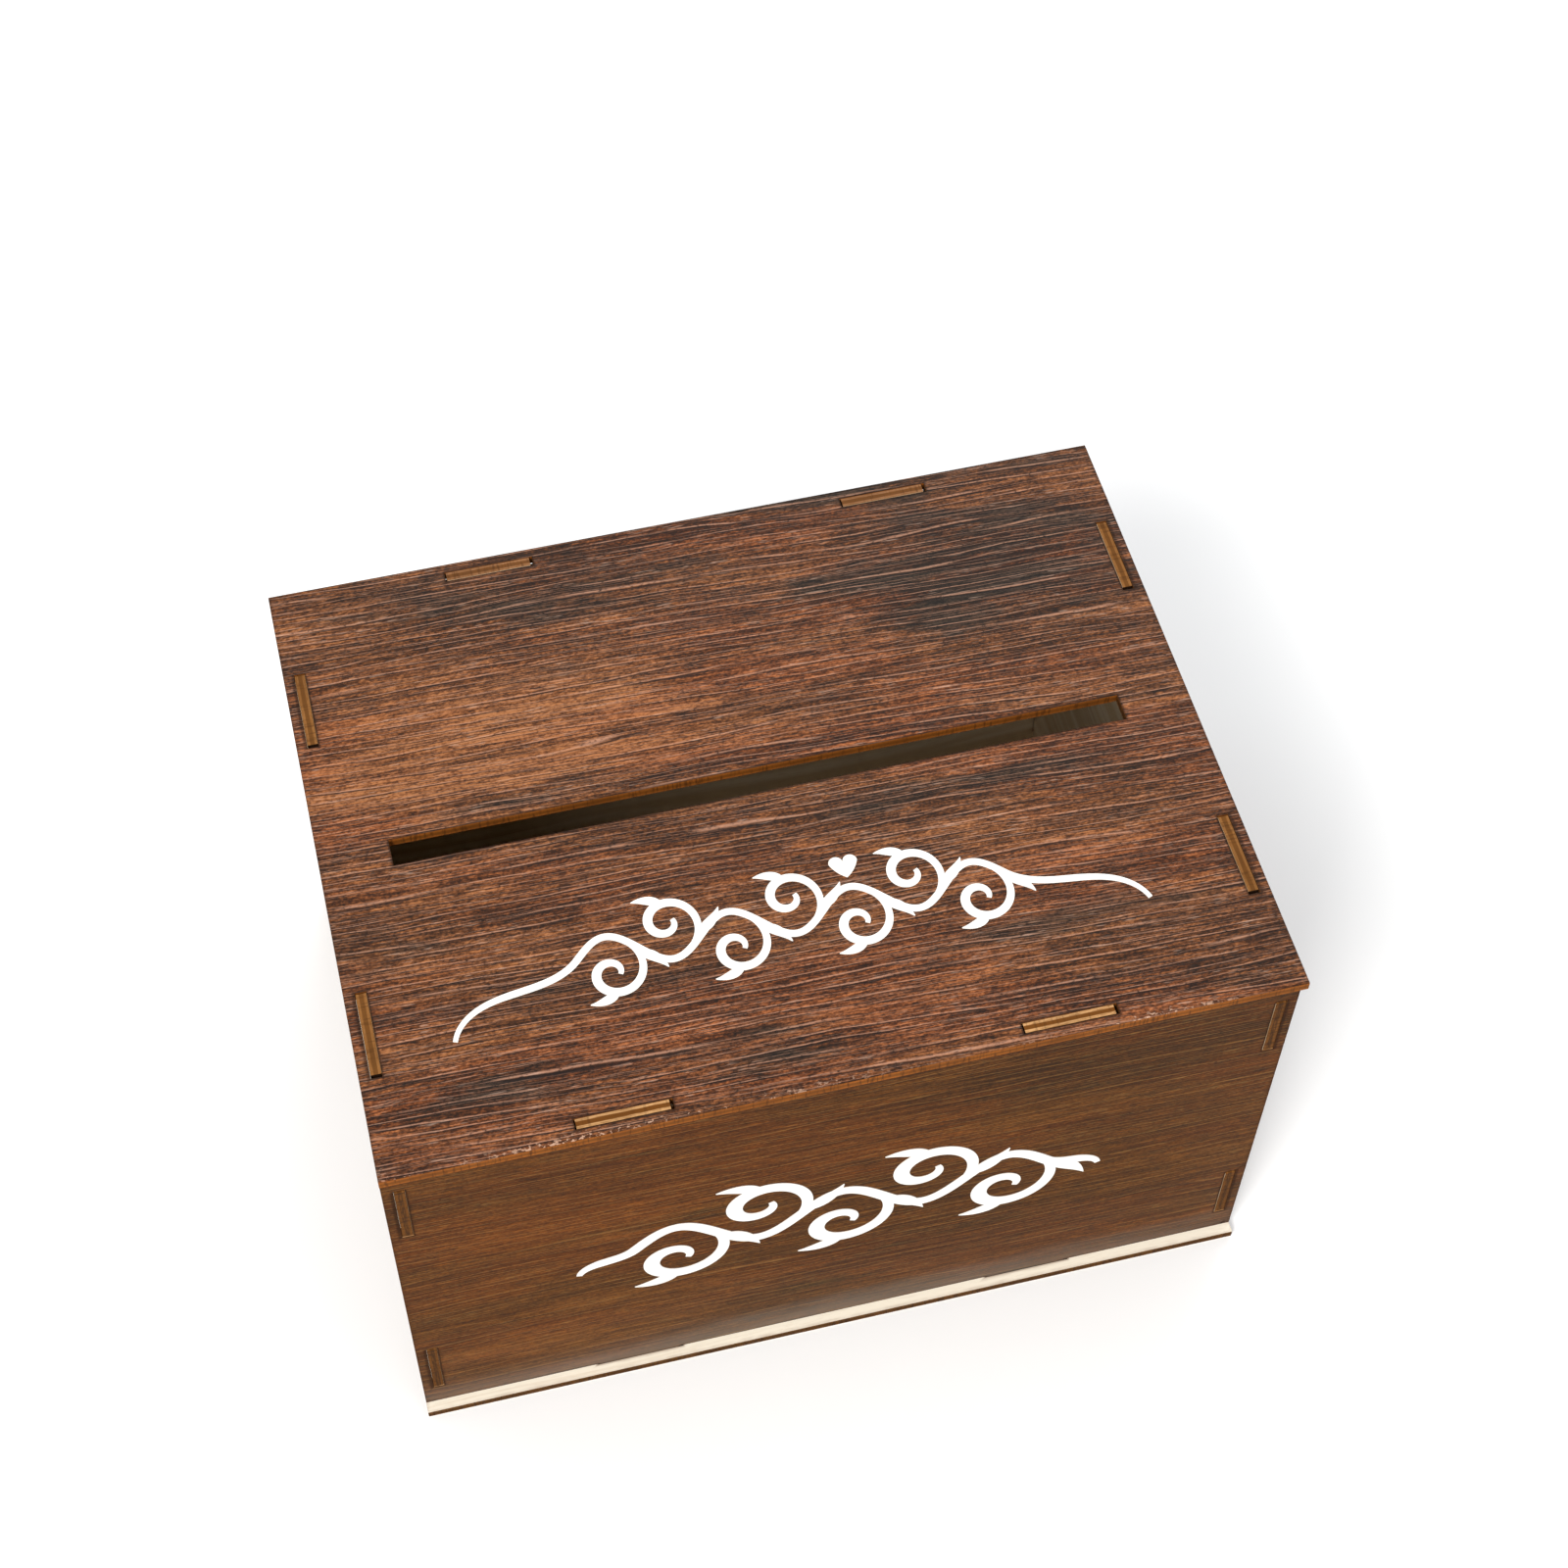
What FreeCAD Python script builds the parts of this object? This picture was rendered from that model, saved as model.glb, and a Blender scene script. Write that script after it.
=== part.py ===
"""Wedding card box: a flat-pack box of thin plywood panels keyed together with tabs and mortises.

Frame: +Z up, +X along the long side, -Y is the front. The origin is the middle of the underside.
Four walls stand on the base panel. The top panel has the card slot and lifts off the walls' tabs.
White cut vinyl, a scrolling vine and a heart, lies on the top panel and on the front panel.
All sizes are in millimetres.
"""

import FreeCAD, Part
import math
import os

import Sketcher

DIMENSIONS = [
    # Plates and walls
    ("plate_width", 250.0),
    ("plate_depth", 195.0),
    ("wall_height", 145.0),
    ("ply_thickness", 3.0),
    # How far the walls' outer faces stand in from the plates' edges
    ("wall_inset", 3.2),
    # Tabs: length, and distance from the plate's or wall's end to the tab's middle
    ("tab_length", 25.0),
    ("long_wall_tab_margin", 64.9),
    ("side_wall_tab_margin", 43.3),
    ("corner_tab_margin", 23.0),
    # Play of a tab in its mortise: at the end it is pushed to, at its free end, at each face
    ("tab_close_gap", 0.35),
    ("tab_free_gap", 0.9),
    ("tab_face_gap", 0.08),
    # Card slot in the top panel
    ("slot_end_margin", 20.0),
    ("slot_width", 8.5),
    ("slot_offset", 0.8),
    # Vinyl ornaments
    ("vinyl_thickness", 0.2),
    ("top_vine_middle", -3.0),
    ("top_vine_front_margin", 52.5),
    ("top_vine_pitch", 17.0),
    ("top_vine_wave", 5.5),
    ("top_vine_curl", 11.5),
    ("top_vine_side_margin", 25.0),
    ("top_vine_stroke", 2.1),
    ("top_vine_thin", 1.3),
    ("front_vine_rise", -1.5),
    ("front_vine_pitch", 24.0),
    ("front_vine_wave", 8.5),
    ("front_vine_curl", 18.5),
    ("front_vine_side_margin", 48.0),
    ("front_vine_stroke", 3.8),
    ("front_vine_thin", 1.7),
    ("heart_width", 8.0),
    ("heart_offset", 17.5),
    ("heart_rise", 13.5),
]

TOP_VINE_CURLS = 7
FRONT_VINE_CURLS = 5

# Shape of the vines, in radians and shares, the same on both panels
TAIL_DIP = 3.1
TAIL_HOOK = 4.1
TAIL_SPAN = 0.9
CURL_TURN = math.radians(470)
CURL_END_SHARE = 0.19
CURL_SWELL = 1.25
# Each leaf of a curl: its step along the curl, its length over the curl's radius, its lean
CURL_LEAVES = (
    (5, 0.85, math.radians(55)),
    (15, 0.75, math.radians(50)),
)
LEAF_BEND = 0.75
LEAF_WIDTH = 0.29
LEAF_TIP = 0.2

doc = FreeCAD.newDocument("wedding_card_box")
sheet = doc.addObject("Spreadsheet::Sheet", "Sizes")
for row, (alias, value) in enumerate(DIMENSIONS, start=1):
    sheet.set(f"A{row}", alias)
    sheet.set(f"B{row}", str(value))
    sheet.setAlias(f"B{row}", alias)
doc.recompute()


def size(alias):
    """The number that the sheet holds under this alias."""
    return float(sheet.get(alias))


def cell(alias):
    """How an expression names the sheet's cell."""
    return f"{sheet.Name}.{alias}"


PLATE_WIDTH = cell("plate_width")
PLATE_DEPTH = cell("plate_depth")
WALL_HEIGHT = cell("wall_height")
PLY = cell("ply_thickness")
INSET = cell("wall_inset")
TAB = cell("tab_length")
CLOSE_GAP = cell("tab_close_gap")
FREE_GAP = cell("tab_free_gap")
FACE_GAP = cell("tab_face_gap")

WALL_TOP = f"({PLY} + {WALL_HEIGHT})"
HALF_WIDTH = f"({PLATE_WIDTH} / 2)"
HALF_DEPTH = f"({PLATE_DEPTH} / 2)"
INNER_HALF_WIDTH = f"({HALF_WIDTH} - {INSET} - {PLY})"
INNER_HALF_DEPTH = f"({HALF_DEPTH} - {INSET} - {PLY})"
LONG_WALL_PLACE = f"({HALF_DEPTH} - {INSET} - {PLY} / 2)"
SIDE_WALL_PLACE = f"({HALF_WIDTH} - {INSET} - {PLY} / 2)"
LONG_TAB_PLACE = f"({HALF_WIDTH} - {cell('long_wall_tab_margin')})"
SIDE_TAB_PLACE = f"({HALF_DEPTH} - {cell('side_wall_tab_margin')})"
LOW_TAB_HEIGHT = f"({PLY} + {cell('corner_tab_margin')})"
HIGH_TAB_HEIGHT = f"({WALL_TOP} - {cell('corner_tab_margin')})"
MORTISE_WIDTH = f"({PLY} + 2 * {FACE_GAP})"
MORTISE = f"({TAB} + {CLOSE_GAP} + {FREE_GAP})"
TAB_SHIFT = f"({FREE_GAP} - {CLOSE_GAP}) / 2"

SLOT_HALF_LENGTH = f"({HALF_WIDTH} - {cell('slot_end_margin')})"
SLOT_WIDTH = cell("slot_width")
SLOT_OFFSET = cell("slot_offset")


def span(middle, length):
    """Low and high ends of a length about a middle."""
    return (f"{middle} - {length} / 2", f"{middle} + {length} / 2")


def tab_span(mortise_middle, push):
    """Low and high ends of a tab that is pushed along its mortise, down (-) or up (+)."""
    return span(f"{mortise_middle} {push} {TAB_SHIFT}", TAB)


def plane_of(body, role):
    """The body's own origin plane with this role."""
    for feature in body.Origin.OriginFeatures:
        if feature.Role == role:
            return feature
    raise ValueError(f"{body.Label} has no plane {role}")


def add_rectangle(sketch, across, up):
    """Add a rectangle whose four sides are held at the two pairs of expressions."""
    corners = [(0, 0), (1, 0), (1, 1), (0, 1)]
    points = [FreeCAD.Vector(x, y, 0) for x, y in corners]
    first = sketch.GeometryCount
    for index in range(4):
        sketch.addGeometry(Part.LineSegment(points[index], points[(index + 1) % 4]))
    for index in range(4):
        following = first + (index + 1) % 4
        sketch.addConstraint(Sketcher.Constraint("Coincident", first + index, 2, following, 1))
    for index in (0, 2):
        sketch.addConstraint(Sketcher.Constraint("Horizontal", first + index))
        sketch.addConstraint(Sketcher.Constraint("Vertical", first + index + 1))
    held = [
        ("DistanceX", first, 1, across[0]),
        ("DistanceX", first, 2, across[1]),
        ("DistanceY", first, 1, up[0]),
        ("DistanceY", first + 2, 1, up[1]),
    ]
    start = [0.0, 1.0, 0.0, 1.0]
    for (kind, line, end, expression), value in zip(held, start):
        index = sketch.addConstraint(Sketcher.Constraint(kind, -1, 1, line, end, value))
        sketch.setExpression(f"Constraints[{index}]", expression)


def add_sketch(body, name, role, rectangles):
    """Add a sketch of rectangles on one of the body's own origin planes."""
    sketch = body.newObject("Sketcher::SketchObject", name)
    sketch.AttachmentSupport = [(plane_of(body, role), "")]
    sketch.MapMode = "FlatFace"
    for across, up in rectangles:
        add_rectangle(sketch, across, up)
    return sketch


def add_pad(body, sketch, name):
    """Pad a sketch by the thickness of the plywood."""
    pad = body.newObject("PartDesign::Pad", name)
    pad.Profile = sketch
    pad.setExpression("Length", PLY)
    sketch.Visibility = False
    return pad


def add_cut(body, sketch, name):
    """Cut a sketch right through the panel, on both sides of the sketch's plane."""
    pocket = body.newObject("PartDesign::Pocket", name)
    pocket.Profile = sketch
    pocket.Type = "ThroughAll"
    pocket.Midplane = True
    sketch.Visibility = False
    return pocket


def make_panel(label, role, outline, tabs, holes, axis, place):
    """A plywood panel: an outline, the tabs that stand out of it, and what is cut through it.

    The sketches lie on the origin plane with the given role, and the panel's placement moves
    it along one axis, to the place that the expression gives.
    """
    body = doc.addObject("PartDesign::Body", label)
    body.Label = label
    add_pad(body, add_sketch(body, f"{label}_outline", role, [outline]), f"{label}_sheet")
    if tabs:
        add_pad(body, add_sketch(body, f"{label}_tab_outlines", role, tabs), f"{label}_tabs")
    if holes:
        add_cut(body, add_sketch(body, f"{label}_hole_outlines", role, holes), f"{label}_holes")
    body.setExpression(f".Placement.Base.{axis}", place)
    return body


def both_sides(place):
    """The same place on the negative and on the positive side."""
    return [f"-{place}", place]


PLATE_OUTLINE = (
    (f"-{HALF_WIDTH}", HALF_WIDTH),
    (f"-{HALF_DEPTH}", HALF_DEPTH),
)


def plate_mortises():
    """The eight mortises that each plate has for the tabs of the four walls."""
    rectangles = []
    for wall in both_sides(LONG_WALL_PLACE):
        for middle in both_sides(LONG_TAB_PLACE):
            rectangles.append((span(middle, MORTISE), span(wall, MORTISE_WIDTH)))
    for wall in both_sides(SIDE_WALL_PLACE):
        for middle in both_sides(SIDE_TAB_PLACE):
            rectangles.append((span(wall, MORTISE_WIDTH), span(middle, MORTISE)))
    return rectangles


def corner_mortises():
    """The four mortises that the front and back panels have for the side walls' tabs."""
    rectangles = []
    for wall in both_sides(SIDE_WALL_PLACE):
        for middle in (LOW_TAB_HEIGHT, HIGH_TAB_HEIGHT):
            rectangles.append((span(wall, MORTISE_WIDTH), span(middle, MORTISE)))
    return rectangles


def wall_tabs(places, push):
    """A wall's tabs down into the base panel and up into the top panel."""
    rectangles = []
    for middle in both_sides(places):
        rectangles.append((tab_span(middle, push), ("0", PLY)))
        rectangles.append((tab_span(middle, push), (WALL_TOP, f"{WALL_TOP} + {PLY}")))
    return rectangles


def corner_tabs():
    """Tabs of a side wall, forward and back through the front and back panels."""
    rectangles = []
    reach = f"{INNER_HALF_DEPTH} + {PLY}"
    for middle in (LOW_TAB_HEIGHT, HIGH_TAB_HEIGHT):
        rectangles.append(((f"-({reach})", f"-{INNER_HALF_DEPTH}"), tab_span(middle, "-")))
        rectangles.append(((INNER_HALF_DEPTH, reach), tab_span(middle, "-")))
    return rectangles


def make_base_panel():
    """The bottom plate, which the walls stand on."""
    return make_panel("base_panel", "XY_Plane", PLATE_OUTLINE, [], plate_mortises(), "z", "0")


def make_top_panel():
    """The lid plate, with the long slot that cards are posted through."""
    slot = ((f"-{SLOT_HALF_LENGTH}", SLOT_HALF_LENGTH), span(SLOT_OFFSET, SLOT_WIDTH))
    holes = plate_mortises() + [slot]
    return make_panel("top_panel", "XY_Plane", PLATE_OUTLINE, [], holes, "z", WALL_TOP)


def make_long_wall(label, inner_face):
    """The front or back panel: the full width of the plates.

    The sketch's plane faces -Y, so the sheet lies on the -Y side of the placement.
    """
    outline = ((f"-{HALF_WIDTH}", HALF_WIDTH), (PLY, WALL_TOP))
    tabs = wall_tabs(LONG_TAB_PLACE, "-")
    return make_panel(label, "XZ_Plane", outline, tabs, corner_mortises(), "y", inner_face)


def make_side_wall(label, low_face):
    """The left or right panel, which fits between the front and back panels.

    The sketch's plane faces +X, so the sheet lies on the +X side of the placement.
    """
    outline = ((f"-{INNER_HALF_DEPTH}", INNER_HALF_DEPTH), (PLY, WALL_TOP))
    tabs = wall_tabs(SIDE_TAB_PLACE, "+") + corner_tabs()
    return make_panel(label, "YZ_Plane", outline, tabs, [], "x", low_face)


def bent_line(start, heading, length, first_bend, last_bend, steps):
    """Points along a line whose bend grows evenly from the first to the last.

    The heading is in radians. A bend is how far the line would turn over its whole length.
    """
    step = length / steps
    points = [start]
    for index in range(steps):
        share = (index + 0.5) / steps
        turned = heading + first_bend * share + (last_bend - first_bend) * share**2 / 2
        x, y = points[-1]
        points.append((x + step * math.cos(turned), y + step * math.sin(turned)))
    return points


def flat_face(edges):
    """The flat face inside a closed ring of edges."""
    ring = Part.Wire(Part.__sortEdges__(edges))
    return Part.makeFace(ring, "Part::FaceMakerBullseye")


def stroke(points, widths):
    """A flat face around a line of points, as wide at each point as its width says."""
    sides = ([], [])
    last = len(points) - 1
    for index, (x, y) in enumerate(points):
        x_before, y_before = points[max(index - 1, 0)]
        x_after, y_after = points[min(index + 1, last)]
        along = math.hypot(x_after - x_before, y_after - y_before)
        across_x = -(y_after - y_before) / along * widths[index] / 2
        across_y = (x_after - x_before) / along * widths[index] / 2
        sides[0].append(FreeCAD.Vector(x + across_x, y + across_y, 0))
        sides[1].append(FreeCAD.Vector(x - across_x, y - across_y, 0))
    edges = []
    for side in sides:
        curve = Part.BSplineCurve()
        curve.interpolate(side)
        edges.append(curve.toShape())
    for end in (0, -1):
        edges.append(Part.makeLine(sides[0][end], sides[1][end]))
    return flat_face(edges)


def shares(points):
    """How far along the line each of its points is, from 0 to 1."""
    last = len(points) - 1
    return [index / last for index in range(len(points))]


def leaf(start, heading, length, side):
    """A leaf: a short stroke that bends to one side and is widest near its foot."""
    bend = LEAF_BEND * side
    points = bent_line(start, heading, length, bend, bend, 12)
    widths = []
    for share in shares(points):
        widths.append(LEAF_TIP + LEAF_WIDTH * length * math.sin(math.pi * share**0.7))
    return stroke(points, widths)


def vine_stem(curls, pitch, wave, tail_reach, thick, thin):
    """The stem: a sine wave about y = 0, centred on x = 0, that ends in two long tails.

    It is thick all the way, except that it thins out towards the tips of the tails.
    """
    half_length = pitch * curls / 2
    steps = 10
    middle = []
    for index in range(curls * steps + 1):
        x = -half_length + pitch * index / steps
        middle.append((x, wave * math.sin(math.pi * index / steps)))
    slope = math.atan(math.pi * wave / pitch)
    length = tail_reach / TAIL_SPAN
    left = bent_line(middle[0], math.pi + slope, length, -TAIL_DIP, TAIL_HOOK, 24)
    right = bent_line(middle[-1], -slope, length, TAIL_DIP, -TAIL_HOOK, 24)
    line = left[:0:-1] + middle + right[1:]
    widths = []
    for share in shares(line):
        swell = min(1.0, 3.0 * math.sin(math.pi * share))
        widths.append(thin + (thick - thin) * swell)
    return stroke(line, widths)


def vine_curl(middle_x, side, wave, curl, thick, thin):
    """One curl and its two leaves, above the stem on side 1 and below it on side -1.

    The curl is a spiral that leaves the stem at the far side of the wave and shrinks evenly
    per turn. It is thickest half way along.
    """
    middle_y = side * (curl - wave)
    points = []
    widths = []
    steps = 40
    for index in range(steps + 1):
        share = index / steps
        radius = curl * CURL_END_SHARE**share
        angle = side * (-math.pi / 2 + CURL_TURN * share)
        points.append((middle_x + radius * math.cos(angle), middle_y + radius * math.sin(angle)))
        widths.append(thin + (CURL_SWELL * thick - thin) * math.sin(math.pi * share))
    faces = [stroke(points, widths)]
    for index, length_share, lean in CURL_LEAVES:
        x, y = points[index]
        next_x, next_y = points[index + 1]
        heading = math.atan2(next_y - y, next_x - x) - lean * side
        faces.append(leaf((x, y), heading, length_share * curl, side))
    return faces


def vine_faces(curls, panel, side_margin):
    """A running scroll: a waving stem, with a curl inside every half wave.

    The curls are an odd number, and lie below and above the stem by turns. The tails reach
    to the side margin, which is counted from the nearer edge of the panel.
    """
    pitch = size(f"{panel}_vine_pitch")
    wave = size(f"{panel}_vine_wave")
    curl = size(f"{panel}_vine_curl")
    thick = size(f"{panel}_vine_stroke")
    thin = size(f"{panel}_vine_thin")
    tail_reach = size("plate_width") / 2 - side_margin - pitch * curls / 2
    faces = [vine_stem(curls, pitch, wave, tail_reach, thick, thin)]
    for number in range(curls):
        side = -1 if number % 2 == 0 else 1
        middle_x = pitch * (number + 0.5 - curls / 2)
        faces += vine_curl(middle_x, side, wave, curl, thick, thin)
    return faces


def vinyl(label, faces, position, rotation):
    """A piece of cut vinyl: flat faces joined into one outline and given its thickness."""
    flat = faces[0]
    if len(faces) > 1:
        flat = faces[0].multiFuse(faces[1:]).removeSplitter()
    thickness = FreeCAD.Vector(0, 0, size("vinyl_thickness"))
    solids = [face.extrude(thickness) for face in flat.Faces]
    feature = doc.addObject("Part::Feature", label)
    feature.Label = label
    feature.Shape = solids[0] if len(solids) == 1 else Part.makeCompound(solids)
    feature.Placement = FreeCAD.Placement(position, rotation)
    return feature


def top_vine_place():
    """Middle of the vine on the top panel's upper face."""
    across = size("top_vine_middle")
    deep = -size("plate_depth") / 2 + size("top_vine_front_margin")
    height = 2 * size("ply_thickness") + size("wall_height")
    return FreeCAD.Vector(across, deep, height)


def make_top_vine():
    """The vine on the top panel, between the slot and the front edge."""
    side_margin = size("top_vine_side_margin") + abs(size("top_vine_middle"))
    faces = vine_faces(TOP_VINE_CURLS, "top", side_margin)
    return vinyl("top_vine", faces, top_vine_place(), FreeCAD.Rotation())


def make_top_heart():
    """A heart above the vine: two half rounds on a point, each side bulging outwards."""
    width = size("heart_width")
    lobe = width / 4
    notch = FreeCAD.Vector(0, 0, 0)
    point = FreeCAD.Vector(0, -0.62 * width, 0)
    edges = []
    for side in (-1, 1):
        crown = FreeCAD.Vector(side * lobe, 1.05 * lobe, 0)
        shoulder = FreeCAD.Vector(side * 2 * lobe, 0, 0)
        bulge = FreeCAD.Vector(side * 1.28 * lobe, -0.32 * width, 0)
        edges.append(Part.Arc(notch, crown, shoulder).toShape())
        edges.append(Part.Arc(shoulder, bulge, point).toShape())
    face = flat_face(edges)
    place = top_vine_place() + FreeCAD.Vector(size("heart_offset"), size("heart_rise"), 0)
    return vinyl("top_heart", [face], place, FreeCAD.Rotation())


def make_front_vine():
    """The larger vine on the front panel's outer face."""
    faces = vine_faces(FRONT_VINE_CURLS, "front", size("front_vine_side_margin"))
    front_face = -size("plate_depth") / 2 + size("wall_inset")
    height = size("ply_thickness") + size("wall_height") / 2 + size("front_vine_rise")
    upright = FreeCAD.Rotation(FreeCAD.Vector(1, 0, 0), 90)
    return vinyl("front_vine", faces, FreeCAD.Vector(0, front_face, height), upright)


pieces = [
    make_base_panel(),
    make_long_wall("front_panel", f"-{INNER_HALF_DEPTH}"),
    make_long_wall("back_panel", f"{INNER_HALF_DEPTH} + {PLY}"),
    make_side_wall("left_panel", f"-{INNER_HALF_WIDTH} - {PLY}"),
    make_side_wall("right_panel", INNER_HALF_WIDTH),
    make_top_panel(),
    make_top_vine(),
    make_top_heart(),
    make_front_vine(),
]
doc.recompute()

for item in doc.Objects:
    if "Invalid" in item.State or "Error" in item.State:
        raise RuntimeError(f"{item.Label} failed: {item.State}")
for piece in pieces:
    if piece.Shape.isNull() or not piece.Shape.isValid():
        raise RuntimeError(f"{piece.Label} has no valid shape")

os.makedirs("parts", exist_ok=True)
for piece in pieces:
    piece.Shape.exportStep(f"parts/{piece.Label}.step")
    print(f"{piece.Label}: {len(piece.Shape.Solids)} solid, {piece.Shape.Volume:.1f} mm3")
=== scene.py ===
"""Wedding card box: ply panels, their finishes, the vinyl ornaments and a plain studio.

Every panel is cut again from the outline of its own frame node, gets eased arrises and is
dressed with printed walnut film, bare ply and scorched cut edges. Lengths are in metres
unless a name says otherwise, and shader patterns work in millimetres.
"""

import logging
import math
from dataclasses import dataclass, field
from enum import Enum
from typing import Any, Sequence

import bpy
import numpy as np
from mathutils import Matrix, Vector


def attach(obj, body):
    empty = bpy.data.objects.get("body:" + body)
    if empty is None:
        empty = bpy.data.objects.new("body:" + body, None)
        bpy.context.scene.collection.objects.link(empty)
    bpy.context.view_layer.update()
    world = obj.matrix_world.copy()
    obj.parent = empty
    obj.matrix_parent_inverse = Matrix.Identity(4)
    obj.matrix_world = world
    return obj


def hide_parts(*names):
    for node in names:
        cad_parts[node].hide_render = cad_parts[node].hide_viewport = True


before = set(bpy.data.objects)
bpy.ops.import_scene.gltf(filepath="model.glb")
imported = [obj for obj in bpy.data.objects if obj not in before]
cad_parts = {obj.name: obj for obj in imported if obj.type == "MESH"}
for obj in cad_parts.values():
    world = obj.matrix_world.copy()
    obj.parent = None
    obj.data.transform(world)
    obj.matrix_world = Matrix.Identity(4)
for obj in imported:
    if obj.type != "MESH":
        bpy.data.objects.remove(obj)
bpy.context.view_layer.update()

LOG = logging.getLogger("card_box")
MM = 0.001

# How far a seed shifts a noise along each axis, and how strong its finer layers are
SEED_SHARES = (1.0, 1.7, 0.3)
NOISE_ROUGHNESS = 0.6

Colour = tuple[float, float, float, float]
Socket = Any


class Slot(str, Enum):
    """Material slots."""

    WALNUT_PLY = "walnut_ply"
    BARE_PLY = "bare_ply"
    WHITE_VINYL = "white_vinyl"


class Body(str, Enum):
    """Bodies that the pieces ride on."""

    BOX = "box"
    LID = "lid"


class Axis(Enum):
    """Axes of the row frame, by their place in a point."""

    X = 0
    Y = 1
    Z = 2


class Skin(Enum):
    """The kinds of surface that a cut panel shows, by material index."""

    OUTER = 0
    INNER = 1
    FIRST_CUT = 2
    SECOND_CUT = 3


class Distance(str, Enum):
    """Distances in millimetres that every panel's mesh keeps at its corners."""

    TO_CUT = "distance_to_cut"
    TO_RIM = "distance_to_rim"


class Kind(str, Enum):
    """Kinds of socket that a node group has."""

    FLOAT = "NodeSocketFloat"
    COLOUR = "NodeSocketColor"
    VECTOR = "NodeSocketVector"


def paint(red: int, green: int, blue: int) -> Colour:
    """Turn a paint chart's 0 to 255 colour into the linear colour that shaders use.

    Args:
        red: red share, 0 to 255.
        green: green share, 0 to 255.
        blue: blue share, 0 to 255.

    Returns:
        Linear red, green, blue and a full alpha.
    """
    share = np.array([red, green, blue]) / 255.0
    linear = np.where(share <= 0.04045, share / 12.92, ((share + 0.055) / 1.055) ** 2.4)
    return (float(linear[0]), float(linear[1]), float(linear[2]), 1.0)


def put(name: str, data: bpy.types.ID) -> bpy.types.Object:
    """Make an object and put it in the scene.

    Args:
        name: the object's name.
        data: its mesh, lamp or camera.

    Returns:
        The object, at the origin.
    """
    made = bpy.data.objects.new(name, data)
    bpy.context.scene.collection.objects.link(made)
    return made


def grid_quads(number: np.ndarray) -> np.ndarray:
    """Give the four corner numbers of each cell of a grid, turning from the first axis to the second.

    Args:
        number: the corners' numbers, as rows by columns.

    Returns:
        Corner numbers, as rows by columns by 4.
    """
    ring = (number[:-1, :-1], number[1:, :-1], number[1:, 1:], number[:-1, 1:])
    return np.stack(ring, axis=-1)


def smooth_mesh(name: str, corners: np.ndarray, quads: np.ndarray) -> bpy.types.Mesh:
    """Make a smooth-shaded mesh.

    Args:
        name: the mesh's name.
        corners: its corners, as points by 3.
        quads: its faces, as corner numbers by 4.

    Returns:
        The mesh.
    """
    mesh = bpy.data.meshes.new(name)
    mesh.from_pydata(corners.tolist(), [], quads.tolist())
    mesh.polygons.foreach_set("use_smooth", np.ones(len(quads), dtype=bool))
    return mesh


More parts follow.
